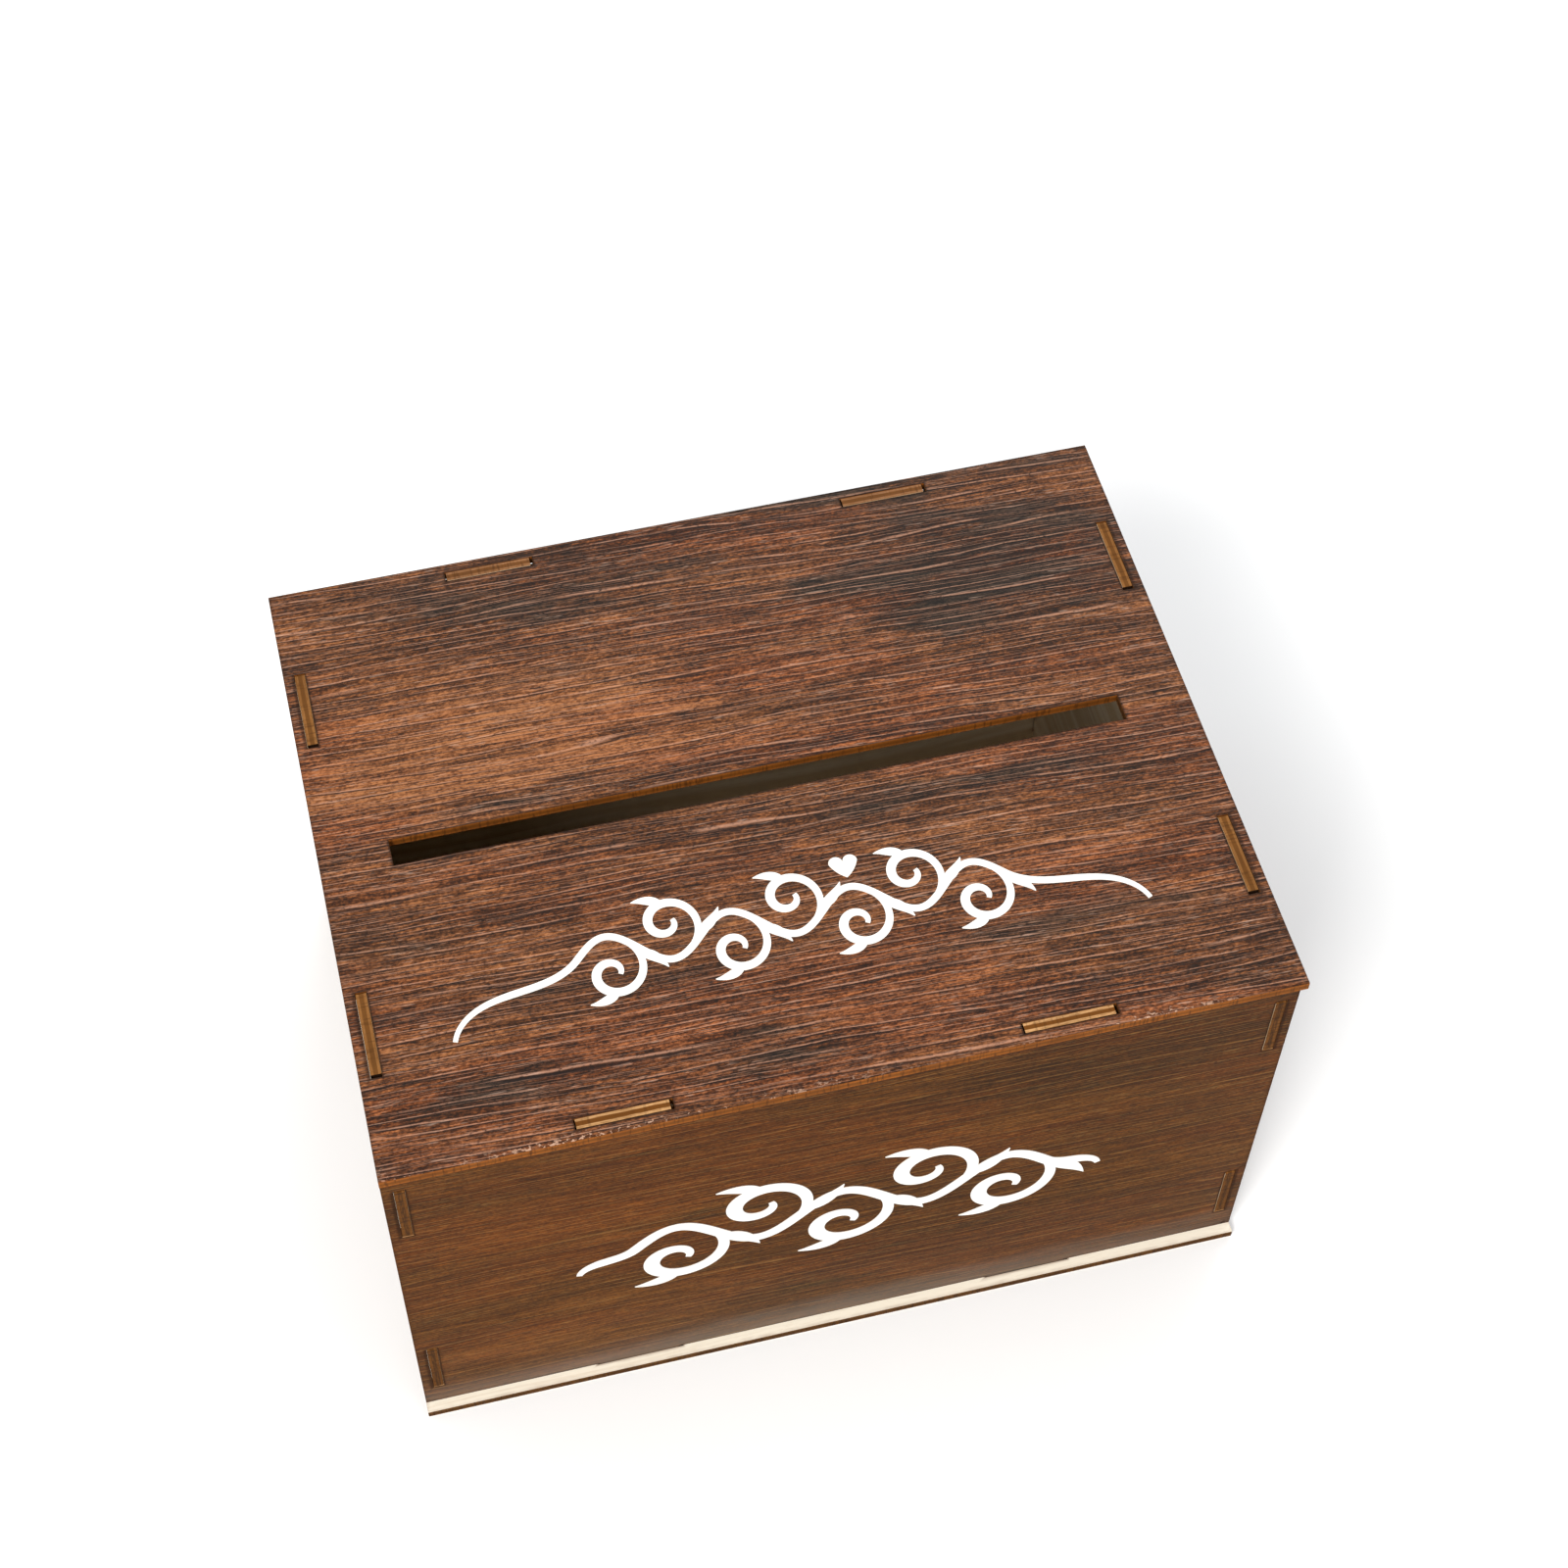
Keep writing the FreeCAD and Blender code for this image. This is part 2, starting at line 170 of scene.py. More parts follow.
class NodeBench:
    """Places and links shader nodes in one tree."""

    def __init__(self, tree: bpy.types.NodeTree) -> None:
        """Keep the tree that the nodes go into."""
        self.tree = tree

    def node(self, kind: str, **settings: Any) -> bpy.types.Node:
        """Add a node of a kind and set its properties.

        Args:
            kind: Blender's name of the node's class.
            settings: properties of the node.

        Returns:
            The new node.
        """
        made = self.tree.nodes.new(kind)
        for name, value in settings.items():
            setattr(made, name, value)
        return made

    def feed(self, socket: Socket, value: Any) -> None:
        """Link a socket to another, or set its own value.

        Args:
            socket: the input to feed.
            value: a socket, a number, a colour or a vector, or None to leave the input as it is.
        """
        if isinstance(value, bpy.types.NodeSocket):
            self.tree.links.new(value, socket)
        elif value is not None:
            socket.default_value = value

    def math(self, operation: str, first: Any, second: Any = None, third: Any = None) -> Socket:
        """Add a Math node.

        Args:
            operation: Blender's name of the operation.
            first: first number or socket.
            second: second number or socket.
            third: third number or socket.

        Returns:
            The result's socket.
        """
        made = self.node("ShaderNodeMath", operation=operation)
        for socket, value in zip(made.inputs, (first, second, third)):
            self.feed(socket, value)
        return made.outputs[0]

    def times(self, first: Any, second: Any) -> Socket:
        """Multiply two numbers."""
        return self.math("MULTIPLY", first, second)

    def times_plus(self, first: Any, second: Any, extra: Any) -> Socket:
        """Multiply two numbers and add a third."""
        return self.math("MULTIPLY_ADD", first, second, extra)

    def vector(self, operation: str, *values: Any) -> bpy.types.Node:
        """Add a Vector Math node.

        Args:
            operation: Blender's name of the operation.
            values: vectors or sockets for its inputs, in order.

        Returns:
            The new node.
        """
        made = self.node("ShaderNodeVectorMath", operation=operation)
        for socket, value in zip(made.inputs, values):
            self.feed(socket, value)
        return made

    def blend(self, share: Any, low: Any, high: Any, mode: str = "MIX") -> Socket:
        """Mix two colours.

        Args:
            share: how much of the second colour shows.
            low: first colour.
            high: second colour.
            mode: Blender's name of the blending.

        Returns:
            The mixed colour's socket.
        """
        made = self.node("ShaderNodeMix", data_type="RGBA", blend_type=mode)
        self.feed(made.inputs[0], share)
        self.feed(made.inputs[6], low)
        self.feed(made.inputs[7], high)
        return made.outputs[2]

    def step(self, value: Any, low: float, high: float) -> Socket:
        """Rise smoothly from 0 to 1 as a value goes from low to high.

        Args:
            value: the number to follow.
            low: where the rise starts.
            high: where it ends; below low, it falls instead.

        Returns:
            The step's socket.
        """
        made = self.node("ShaderNodeMapRange", interpolation_type="SMOOTHSTEP")
        for socket, number in zip(made.inputs, (value, low, high)):
            self.feed(socket, number)
        return made.outputs[0]

    def ramp(self, share: Any, stops: Sequence[tuple[float, Colour]]) -> Socket:
        """Turn a share into a colour through stops.

        Args:
            share: the number to colour.
            stops: places and their colours, in rising order.

        Returns:
            The colour's socket.
        """
        made = self.node("ShaderNodeValToRGB")
        ramp = made.color_ramp
        while len(ramp.elements) < len(stops):
            ramp.elements.new(1.0)
        for element, (place, colour) in zip(ramp.elements, stops):
            element.position = place
            element.color = colour
        self.feed(made.inputs[0], share)
        return made.outputs[0]

    def stretch(self, vector: Any, scale: Sequence[float], shift: Sequence[float]) -> Socket:
        """Multiply a vector by a scale and add a shift."""
        return self.vector("MULTIPLY_ADD", vector, tuple(scale), tuple(shift)).outputs[0]

    def noise(self, vector: Any, scale: Sequence[float], seed: float, detail: float) -> Socket:
        """Add smooth noise.

        Args:
            vector: where to read it, in millimetres.
            scale: waves per millimetre along each axis.
            seed: shift that makes this noise its own.
            detail: how many finer layers it has.

        Returns:
            The noise's socket, about 0.5 on average.
        """
        made = self.node("ShaderNodeTexNoise", noise_dimensions="3D")
        shift = [seed * share for share in SEED_SHARES]
        self.feed(made.inputs["Vector"], self.stretch(vector, scale, shift))
        self.feed(made.inputs["Scale"], 1.0)
        self.feed(made.inputs["Detail"], detail)
        self.feed(made.inputs["Roughness"], NOISE_ROUGHNESS)
        return made.outputs[0]

    def weigh(self, layers: Sequence[tuple[float, Socket]]) -> Socket:
        """Add up noises by weight, so that their average of 0.5 each comes to 0.

        Args:
            layers: weights and noises.

        Returns:
            The sum's socket, about 0 on average.
        """
        total = -0.5 * sum(weight for weight, _noise in layers)
        for weight, noise in layers:
            total = self.times_plus(noise, weight, total)
        return total

    def split(self, vector: Any) -> tuple[Socket, Socket, Socket]:
        """Split a vector.

        Args:
            vector: the vector or its socket.

        Returns:
            The sockets of its three parts.
        """
        made = self.node("ShaderNodeSeparateXYZ")
        self.feed(made.inputs[0], vector)
        return made.outputs[0], made.outputs[1], made.outputs[2]

    def flat(self, along: Any, across: Any) -> Socket:
        """Make a place on a sheet: a vector of two numbers and zero.

        Args:
            along: place along the grain.
            across: place across the grain.

        Returns:
            The vector's socket.
        """
        made = self.node("ShaderNodeCombineXYZ")
        for socket, value in zip(made.inputs, (along, across)):
            self.feed(socket, value)
        return made.outputs[0]


class GroupKit:
    """A shader node group that is built once and placed in many materials.

    Attributes:
        name: the group's name.
        inputs: kind and own value of each input socket.
        outputs: kind of each output socket.
        tree: the group's node tree, once it is built.
    """

    name: str
    inputs: dict[str, tuple[Kind, Any]]
    outputs: dict[str, Kind]
    tree: bpy.types.NodeTree | None = None

    def draw(self, bench: NodeBench, given: dict[str, Socket]) -> dict[str, Socket]:
        """Draw the group's inside: each kit says how."""
        raise NotImplementedError

    def built(self) -> bpy.types.NodeTree:
        """Build the group at the first call, and give it.

        Returns:
            The group's node tree.
        """
        if self.tree is None:
            self.tree = bpy.data.node_groups.new(self.name, "ShaderNodeTree")
            for name, (kind, default) in self.inputs.items():
                socket = self.tree.interface.new_socket(name, in_out="INPUT", socket_type=kind.value)
                if default is not None:
                    socket.default_value = default
            for name, kind in self.outputs.items():
                self.tree.interface.new_socket(name, in_out="OUTPUT", socket_type=kind.value)
            bench = NodeBench(self.tree)
            source = bench.node("NodeGroupInput")
            target = bench.node("NodeGroupOutput")
            given = {name: source.outputs[name] for name in self.inputs}
            for name, socket in self.draw(bench, given).items():
                self.tree.links.new(socket, target.inputs[name])
        return self.tree

    def place(self, bench: NodeBench, **values: Any) -> dict[str, Socket]:
        """Put the group into a material.

        Args:
            bench: the material's bench.
            values: numbers, colours or sockets for the group's inputs.

        Returns:
            The group's outputs by name.
        """
        made = bench.node("ShaderNodeGroup", node_tree=self.built())
        for name, value in values.items():
            bench.feed(made.inputs[name.replace("_", " ").capitalize()], value)
        return {name: made.outputs[name] for name in self.outputs}


class WalnutGrain(GroupKit):
    """The printed and embossed walnut figure: x runs along the grain, y across it.

    Attributes:
        browns: the browns of the print, from the darkest tone to the lightest.
        red_lean: what the browns are multiplied by where they lean to red.
        olive_lean: what they are multiplied by where they lean to olive.
        deep_cloud: the darker colour of the grey clouds.
        pale_cloud: the lighter colour of the grey clouds.
        ring_groove_print_and_shade: colour of the rings' grooves: dark print with painted shade.
        ring_lip_highlight: colour of their lips: a painted highlight.
        glint_highlight: colour of the pale flecks: painted glint highlights.
    """

    name = "walnut_grain"
    inputs = {
        "Place": (Kind.VECTOR, None),
        "Shade": (Kind.FLOAT, 0.5),
        "Contrast": (Kind.FLOAT, 1.0),
        "Clouding": (Kind.FLOAT, 0.0),
    }
    outputs = {"Color": Kind.COLOUR, "Height": Kind.FLOAT, "Fibre": Kind.FLOAT}

    browns = (
        (0.15, paint(38, 24, 17)),
        (0.35, paint(66, 37, 21)),
        (0.50, paint(98, 56, 30)),
        (0.66, paint(134, 80, 46)),
        (0.86, paint(176, 112, 70)),
    )
    red_lean = (1.0, 0.92, 0.82, 1.0)
    olive_lean = (0.93, 1.0, 0.95, 1.0)
    deep_cloud = paint(24, 20, 16)
    pale_cloud = paint(62, 52, 42)
    ring_groove_print_and_shade = paint(32, 22, 19)
    ring_lip_highlight = paint(208, 158, 130)
    glint_highlight = paint(214, 180, 158)

    def draw(self, bench: NodeBench, given: dict[str, Socket]) -> dict[str, Socket]:
        """Draw the figure.

        The place across the grain is first bent by slow, middling and quick waves, so that
        lines drift, wander and wobble. Bands, streaks, fibres and grit are noises stretched
        less and less along it, and their weighted sum about the shade picks the brown, which
        leans to red here and to olive there. Grey clouds and a wide and a narrow set of growth
        rings lie over that. Each ring is a dark printed groove deepened by painted shade, with a
        painted highlight on its lip, and the pale flecks are painted glint highlights.

        Args:
            bench: the group's bench.
            given: the group's input sockets.

        Returns:
            Colour, relief height and fibre mask.
        """
        along, across, _depth = bench.split(given["Place"])
        sheet = bench.flat(along, across)
        waves = (
            (6.0, bench.noise(sheet, (0.006, 0.014, 0.0), 3.1, 1.0)),
            (1.2, bench.noise(sheet, (0.03, 0.10, 0.0), 8.4, 1.0)),
            (0.45, bench.noise(sheet, (0.12, 0.4, 0.0), 15.2, 2.0)),
            (0.03, along),
        )
        bent = across
        for reach, wave in waves:
            bent = bench.times_plus(wave, reach, bent)
        figure = bench.flat(along, bent)
        streaks = bench.noise(figure, (0.03, 0.5, 0.0), 21.3, 3.0)
        fibre = bench.noise(figure, (0.15, 1.5, 0.0), 33.9, 2.0)
        grit = bench.noise(sheet, (0.9, 1.7, 0.0), 5.5, 2.0)
        layers = (
            (0.50, bench.noise(figure, (0.007, 0.08, 0.0), 12.7, 2.0)),
            (0.80, streaks),
            (1.00, fibre),
            (1.00, grit),
        )
        tone = bench.weigh(layers)
        tone = bench.times_plus(tone, given["Contrast"], given["Shade"])
        brown = bench.ramp(tone, self.browns)
        hue = bench.noise(figure, (0.009, 0.045, 0.0), 39.2, 2.0)
        lean = bench.blend(bench.step(hue, 0.4, 0.6), self.red_lean, self.olive_lean)
        brown = bench.blend(1.0, brown, lean, "MULTIPLY")
        clouds = bench.noise(figure, (0.018, 0.11, 0.0), 58.6, 4.0)
        clouds = bench.math("ADD", clouds, given["Clouding"])
        cloud = bench.times(bench.step(clouds, 0.54, 0.74), 0.85)
        dusk = bench.math("ADD", bench.times(fibre, 0.6), bench.times(grit, 0.4))
        dusk = bench.blend(bench.step(dusk, 0.38, 0.62), self.deep_cloud, self.pale_cloud)
        brown = bench.blend(cloud, brown, dusk)
        come = bench.noise(figure, (0.028, 0.4, 0.0), 83.5, 2.0)
        wide_groove, wide_lip = self.rings(bench, figure, 0.40, (0.010, 0.11, 0.0), 47.2)
        fine_groove, fine_lip = self.rings(bench, figure, 0.95, (0.016, 0.26, 0.0), 91.4)
        wide = bench.times(bench.step(come, 0.40, 0.56), given["Contrast"])
        fine = bench.times(bench.step(come, 0.60, 0.44), given["Contrast"])
        fine = bench.times(fine, 0.7)
        dark = bench.times(wide_groove, wide)
        dark = bench.times_plus(fine_groove, fine, dark)
        light = bench.times(wide_lip, wide)
        light = bench.times_plus(fine_lip, fine, light)
        light = bench.times(light, bench.step(grit, 0.2, 0.48))
        # Painted shade in the ring grooves over their dark print, and painted highlights on their
        # lips.
        brown = bench.blend(bench.times(dark, 0.8), brown, self.ring_groove_print_and_shade)
        brown = bench.blend(bench.times(light, 0.55), brown, self.ring_lip_highlight)
        # Pale flecks on the streaks: painted glint highlights of the embossed film.
        glints = bench.noise(figure, (0.17, 2.2, 0.0), 71.8, 1.0)
        glint_highlight_mask = bench.times(bench.step(glints, 0.62, 0.72), given["Contrast"])
        glint_highlight_mask = bench.times(glint_highlight_mask, bench.step(streaks, 0.42, 0.6))
        brown = bench.blend(bench.times(glint_highlight_mask, 0.35), brown, self.glint_highlight)
        relief = bench.weigh(((0.45, fibre), (0.35, grit), (0.15, light)))
        relief = bench.times_plus(dark, -0.6, relief)
        return {"Color": brown, "Height": relief, "Fibre": fibre}

    def rings(
        self,
        bench: NodeBench,
        figure: Socket,
        density: float,
        weave: Sequence[float],
        seed: float,
    ) -> tuple[Socket, Socket]:
        """Draw growth rings: dark grooves with painted shade, and lips with a painted highlight.

        The place across the grain times the density, plus a slow noise, counts rings, and
        what is left of the count after its whole part is where one is within its ring.

        Args:
            bench: the group's bench.
            figure: the bent place.
            density: rings per millimetre.
            weave: the scale of the noise that presses rings together and apart.
            seed: shift that makes these rings their own.

        Returns:
            Masks of the grooves and of the lips.
        """
        _along, across, _depth = bench.split(figure)
        press = bench.times(bench.noise(figure, weave, seed, 1.0), 3.0)
        phase = bench.math("FRACT", bench.times_plus(across, density, press))
        groove = bench.times(bench.step(phase, 0.0, 0.10), bench.step(phase, 0.24, 0.12))
        lip = bench.times(bench.step(phase, 0.16, 0.26), bench.step(phase, 0.40, 0.27))
        return groove, lip


class SoftPatch(GroupKit):
    """A soft-edged oval about a middle, for tones that lie somewhere on a panel."""

    name = "soft_patch"
    inputs = {
        "Place": (Kind.VECTOR, None),
        "Middle": (Kind.VECTOR, None),
        "Reach": (Kind.VECTOR, None),
        "Ragged": (Kind.FLOAT, 0.6),
    }
    outputs = {"Mask": Kind.FLOAT}

    def draw(self, bench: NodeBench, given: dict[str, Socket]) -> dict[str, Socket]:
        """Fade from 1 at the middle to 0 at the reach, roughened by noise.

        The fade follows the length of the way from the middle, with each of its parts
        divided by the reach along that axis.

        Args:
            bench: the group's bench.
            given: the group's input sockets.

        Returns:
            The mask.
        """
        way = bench.vector("SUBTRACT", given["Place"], given["Middle"])
        share = bench.vector("DIVIDE", way.outputs[0], given["Reach"])
        span = bench.vector("LENGTH", share.outputs[0])
        rough = bench.noise(given["Place"], (0.03, 0.16, 0.0), 9.7, 3.0)
        rough = bench.times_plus(rough, 2.0, -1.0)
        edge = bench.times_plus(rough, given["Ragged"], span.outputs["Value"])
        return {"Mask": bench.step(edge, 1.0, 0.1)}


class CutWear(GroupKit):
    """What the laser and handling leave near a cut: scorch marks, and chips at the rim."""

    name = "cut_wear"
    inputs = {
        "Place": (Kind.VECTOR, None),
        "To cut": (Kind.FLOAT, 10.0),
        "To rim": (Kind.FLOAT, 10.0),
        "Halo": (Kind.FLOAT, 1.5),
    }
    outputs = {"Scorch": Kind.FLOAT, "Chips": Kind.FLOAT}

    def draw(self, bench: NodeBench, given: dict[str, Socket]) -> dict[str, Socket]:
        """Draw both masks.

        Scorch is a hard line at the cut, fainter at the rim, and a halo that dies away.
        Chips are flecks of noise in the last few millimetres before the rim, thickest at it.

        Args:
            bench: the group's bench.
            given: the group's input sockets.

        Returns:
            Scorch and chip masks.
        """
        smoke = bench.noise(given["Place"], (0.16, 0.16, 0.0), 19.3, 2.0)
        halo = bench.math("DIVIDE", given["To cut"], given["Halo"])
        halo = bench.times(bench.step(halo, 1.0, 0.0), bench.step(smoke, 0.3, 0.7))
        inboard = bench.times_plus(bench.step(given["To rim"], 1.0, 2.0), 0.5, 0.4)
        line = bench.times(bench.step(given["To cut"], 0.7, 0.25), inboard)
        scorch = bench.math("MAXIMUM", line, bench.times(halo, 0.7))
        bits = bench.noise(given["Place"], (0.8, 1.1, 0.0), 41.8, 2.0)
        sparse = bench.noise(given["Place"], (0.035, 0.035, 0.0), 62.1, 1.0)
        bits = bench.times_plus(sparse, 0.35, bits)
        near = bench.step(given["To rim"], 3.5, 0.2)
        bits = bench.times_plus(near, 0.1, bits)
        chips = bench.times(bench.step(bits, 0.82, 0.9), near)
        return {"Scorch": scorch, "Chips": chips}


class PlyLayers(GroupKit):
    """A laser-cut ply edge: two face veneers and a core, scorched by the cut.

    Attributes:
        thickness: the sheet's thickness, in millimetres.
        dark_fibre: colour of the darker fibres.
        burnt: colour of the scorch.
    """

    name = "ply_layers"
    inputs = {
        "Along": (Kind.FLOAT, 0.0),
        "Depth": (Kind.FLOAT, 0.5),
        "Veneer": (Kind.COLOUR, paint(222, 176, 120)),
        "Core": (Kind.COLOUR, paint(140, 88, 32)),
        "Char": (Kind.FLOAT, 0.5),
    }
    outputs = {"Color": Kind.COLOUR, "Height": Kind.FLOAT}

    thickness = 3.0
    dark_fibre = paint(112, 68, 24)
    burnt = paint(50, 27, 10)

    def draw(self, bench: NodeBench, given: dict[str, Socket]) -> dict[str, Socket]:
        """Draw the layers.

        The distance from the sheet's middle picks core or veneer. Noise stretched along the
        layers makes their fibres, and noise stretched across them the marks of the beam.

        Args:
            bench: the group's bench.
            given: the group's input sockets.

        Returns:
            Colour and relief height.
        """
        off = bench.math("ABSOLUTE", bench.math("SUBTRACT", given["Depth"], 0.5))
        place = bench.flat(given["Along"], bench.times(given["Depth"], self.thickness))
        waver = bench.noise(place, (0.11, 0.4, 0.0), 2.2, 2.0)
        layer = bench.times_plus(waver, 0.12, bench.math("SUBTRACT", off, 0.06))
        veneer = bench.step(layer, 0.17, 0.25)
        colour = bench.blend(veneer, given["Core"], given["Veneer"])
        fibre = bench.noise(place, (0.35, 5.0, 0.0), 14.2, 3.0)
        dark = bench.times(bench.step(fibre, 0.46, 0.6), 0.6)
        colour = bench.blend(dark, colour, self.dark_fibre)
        beam = bench.noise(place, (1.3, 0.12, 0.0), 27.4, 2.0)
        burn = bench.times(bench.step(beam, 0.45, 0.7), given["Char"])
        rim = bench.times(bench.step(off, 0.38, 0.5), 0.6)
        burn = bench.math("MAXIMUM", burn, bench.times(rim, given["Char"]))
        patch = bench.noise(place, (0.05, 0.0, 0.0), 36.6, 2.0)
        sooty = bench.times(bench.step(patch, 0.42, 0.66), 0.5)
        burn = bench.math("MAXIMUM", burn, bench.times(sooty, given["Char"]))
        colour = bench.blend(burn, colour, self.burnt)
        relief = bench.weigh(((0.6, beam), (0.4, fibre)))
        return {"Color": colour, "Height": relief}


class PaleVeneer(GroupKit):
    """Bare pale veneer: x runs along the grain.

    Attributes:
        cream: colour that the light growth bands lean to.
        pore_tan: colour of the pores.
        line_brown: colour of the long lines.
    """

    name = "pale_veneer"
    inputs = {
        "Place": (Kind.VECTOR, None),
        "Wood": (Kind.COLOUR, paint(232, 214, 184)),
        "Figure": (Kind.FLOAT, 1.0),
    }
    outputs = {"Color": Kind.COLOUR, "Height": Kind.FLOAT}

    cream = paint(250, 240, 220)
    pore_tan = paint(186, 152, 108)
    line_brown = paint(176, 136, 90)

    def draw(self, bench: NodeBench, given: dict[str, Socket]) -> dict[str, Socket]:
        """Draw soft growth bands, darker pores and a few long brown lines.

        Args:
            bench: the group's bench.
            given: the group's input sockets.

        Returns:
            Colour and relief height.
        """
        along, across, _depth = bench.split(given["Place"])
        drift = bench.noise(given["Place"], (0.008, 0.02, 0.0), 30.5, 1.0)
        bent = bench.times_plus(drift, 14.0, across)
        figure = bench.flat(along, bent)
        bands = bench.noise(figure, (0.006, 0.12, 0.0), 6.3, 2.0)
        pores = bench.noise(figure, (0.14, 2.4, 0.0), 16.1, 2.0)
        lines = bench.noise(figure, (0.004, 0.5, 0.0), 52.4, 2.0)
        light = bench.blend(0.35, given["Wood"], self.cream)
        wood = bench.blend(bench.step(bands, 0.38, 0.64), given["Wood"], light)
        pore = bench.times(bench.step(pores, 0.54, 0.7), 0.4)
        pore = bench.times(pore, given["Figure"])
        wood = bench.blend(pore, wood, self.pore_tan)
        line = bench.times(bench.step(lines, 0.58, 0.7), 0.35)
        line = bench.times(line, given["Figure"])
        wood = bench.blend(line, wood, self.line_brown)
        return {"Color": wood, "Height": bench.weigh(((0.7, pores), (0.3, lines)))}


WALNUT_GRAIN = WalnutGrain()
SOFT_PATCH = SoftPatch()
CUT_WEAR = CutWear()
PLY_LAYERS = PlyLayers()
PALE_VENEER = PaleVeneer()


def new_material(name: str) -> tuple[bpy.types.Material, NodeBench, bpy.types.Node]:
    """Make an empty material with a Principled shader.

    Args:
        name: the material's name.

    Returns:
        The material, a bench for its tree, and its shader node.
    """
    material = bpy.data.materials.new(name)
    material.use_nodes = True
    bench = NodeBench(material.node_tree)
    shader = material.node_tree.nodes.get("Principled BSDF")
    return material, bench, shader


def emboss(bench: NodeBench, height: Socket, depth: float, strength: float) -> Socket:
    """Turn a relief height into a normal.

    Args:
        bench: the material's bench.
        height: the relief, from 0 to 1.
        depth: how deep the full relief is, in metres.
        strength: how much of it shows.

    Returns:
        The normal's socket.
    """
    bump = bench.node("ShaderNodeBump")
    bump.inputs["Strength"].default_value = strength
    bump.inputs["Distance"].default_value = depth
    bench.feed(bump.inputs["Height"], height)
    return bump.outputs[0]


@dataclass(frozen=True)
class Lay:
    """How a panel lies in the row frame, for patterns that follow it.

    Attributes:
        grain: the axis that the grain runs along.
        across: the axis across the grain, on the sheet.
        through: the axis through the sheet's thickness.
        near: where the sheet's lower face is on that axis, in metres.
        thickness: the sheet's thickness, in metres.
        seed: shift in millimetres that gives the panel its own figure.
    """

    grain: Axis
    across: Axis
    through: Axis
    near: float
    thickness: float
    seed: tuple[float, float]

    def coordinates(self, bench: NodeBench) -> tuple[Socket, Socket, Socket]:
        """Give the place along, across and through the sheet.

        Along and across are in millimetres, and through goes from 0 to 1.

        Args:
            bench: the material's bench.

        Returns:
            The three sockets.
        """
        source = bench.node("ShaderNodeTexCoord").outputs["Object"]
        parts = bench.split(source)
        along = bench.times(parts[self.grain.value], 1 / MM)
        across = bench.times(parts[self.across.value], 1 / MM)
        through = bench.math("SUBTRACT", parts[self.through.value], self.near)
        through = bench.math("DIVIDE", through, self.thickness)
        return along, across, through

    def seeded(self, bench: NodeBench, place: Socket) -> Socket:
        """Shift a place by the panel's own seed."""
        return bench.stretch(place, (1.0, 1.0, 1.0), (*self.seed, 0.0))


def stored(bench: NodeBench, distance: Distance) -> Socket:
    """Read a distance that the panel's mesh keeps."""
    return bench.node("ShaderNodeAttribute", attribute_name=distance.value).outputs["Fac"]


def wear_near_cuts(bench: NodeBench, place: Socket, halo: float) -> dict[str, Socket]:
    """Place the wear that follows the panel's own cuts and rim.

    Args:
        bench: the material's bench.
        place: the place along and across the grain, in millimetres.
        halo: how far the laser's smoke stain reaches, in millimetres.

    Returns:
        Scorch and chip masks by name.
    """
    to_cut = stored(bench, Distance.TO_CUT)
    to_rim = stored(bench, Distance.TO_RIM)
    return CUT_WEAR.place(bench, place=place, to_cut=to_cut, to_rim=to_rim, halo=halo)


@dataclass(frozen=True)
class TonePatch:
    """A place on a panel where the print is lighter, darker or cloudier, where painted
    shade darkens it, or where a painted sheen lies over it.

    Attributes:
        middle: its middle, along and across the grain, in millimetres.
        reach: how far it fades out, along and across, in millimetres.
        lift: how much lighter the brown is.
        cloud: how much more of the grey cloud shows.
        painted_sheen: how much painted sheen, pale reflected light of the floor and base ledge, lies
            over it.
        ragged: how far noise pushes its edge in and out, as a share of the reach.
    """

    middle: tuple[float, float]
    reach: tuple[float, float]
    lift: float = 0.0
    cloud: float = 0.0
    painted_sheen: float = 0.0
    ragged: float = 0.6

    def mask(self, bench: NodeBench, place: Socket) -> Socket:
        """Place the patch's mask.

        Args:
            bench: the material's bench.
            place: the place along and across the grain, in millimetres.

        Returns:
            The mask's socket.
        """
        patch = SOFT_PATCH.place(
            bench,
            place=place,
            middle=(*self.middle, 0.0),
            reach=(*self.reach, 1.0),
            ragged=self.ragged,
        )
        return patch["Mask"]


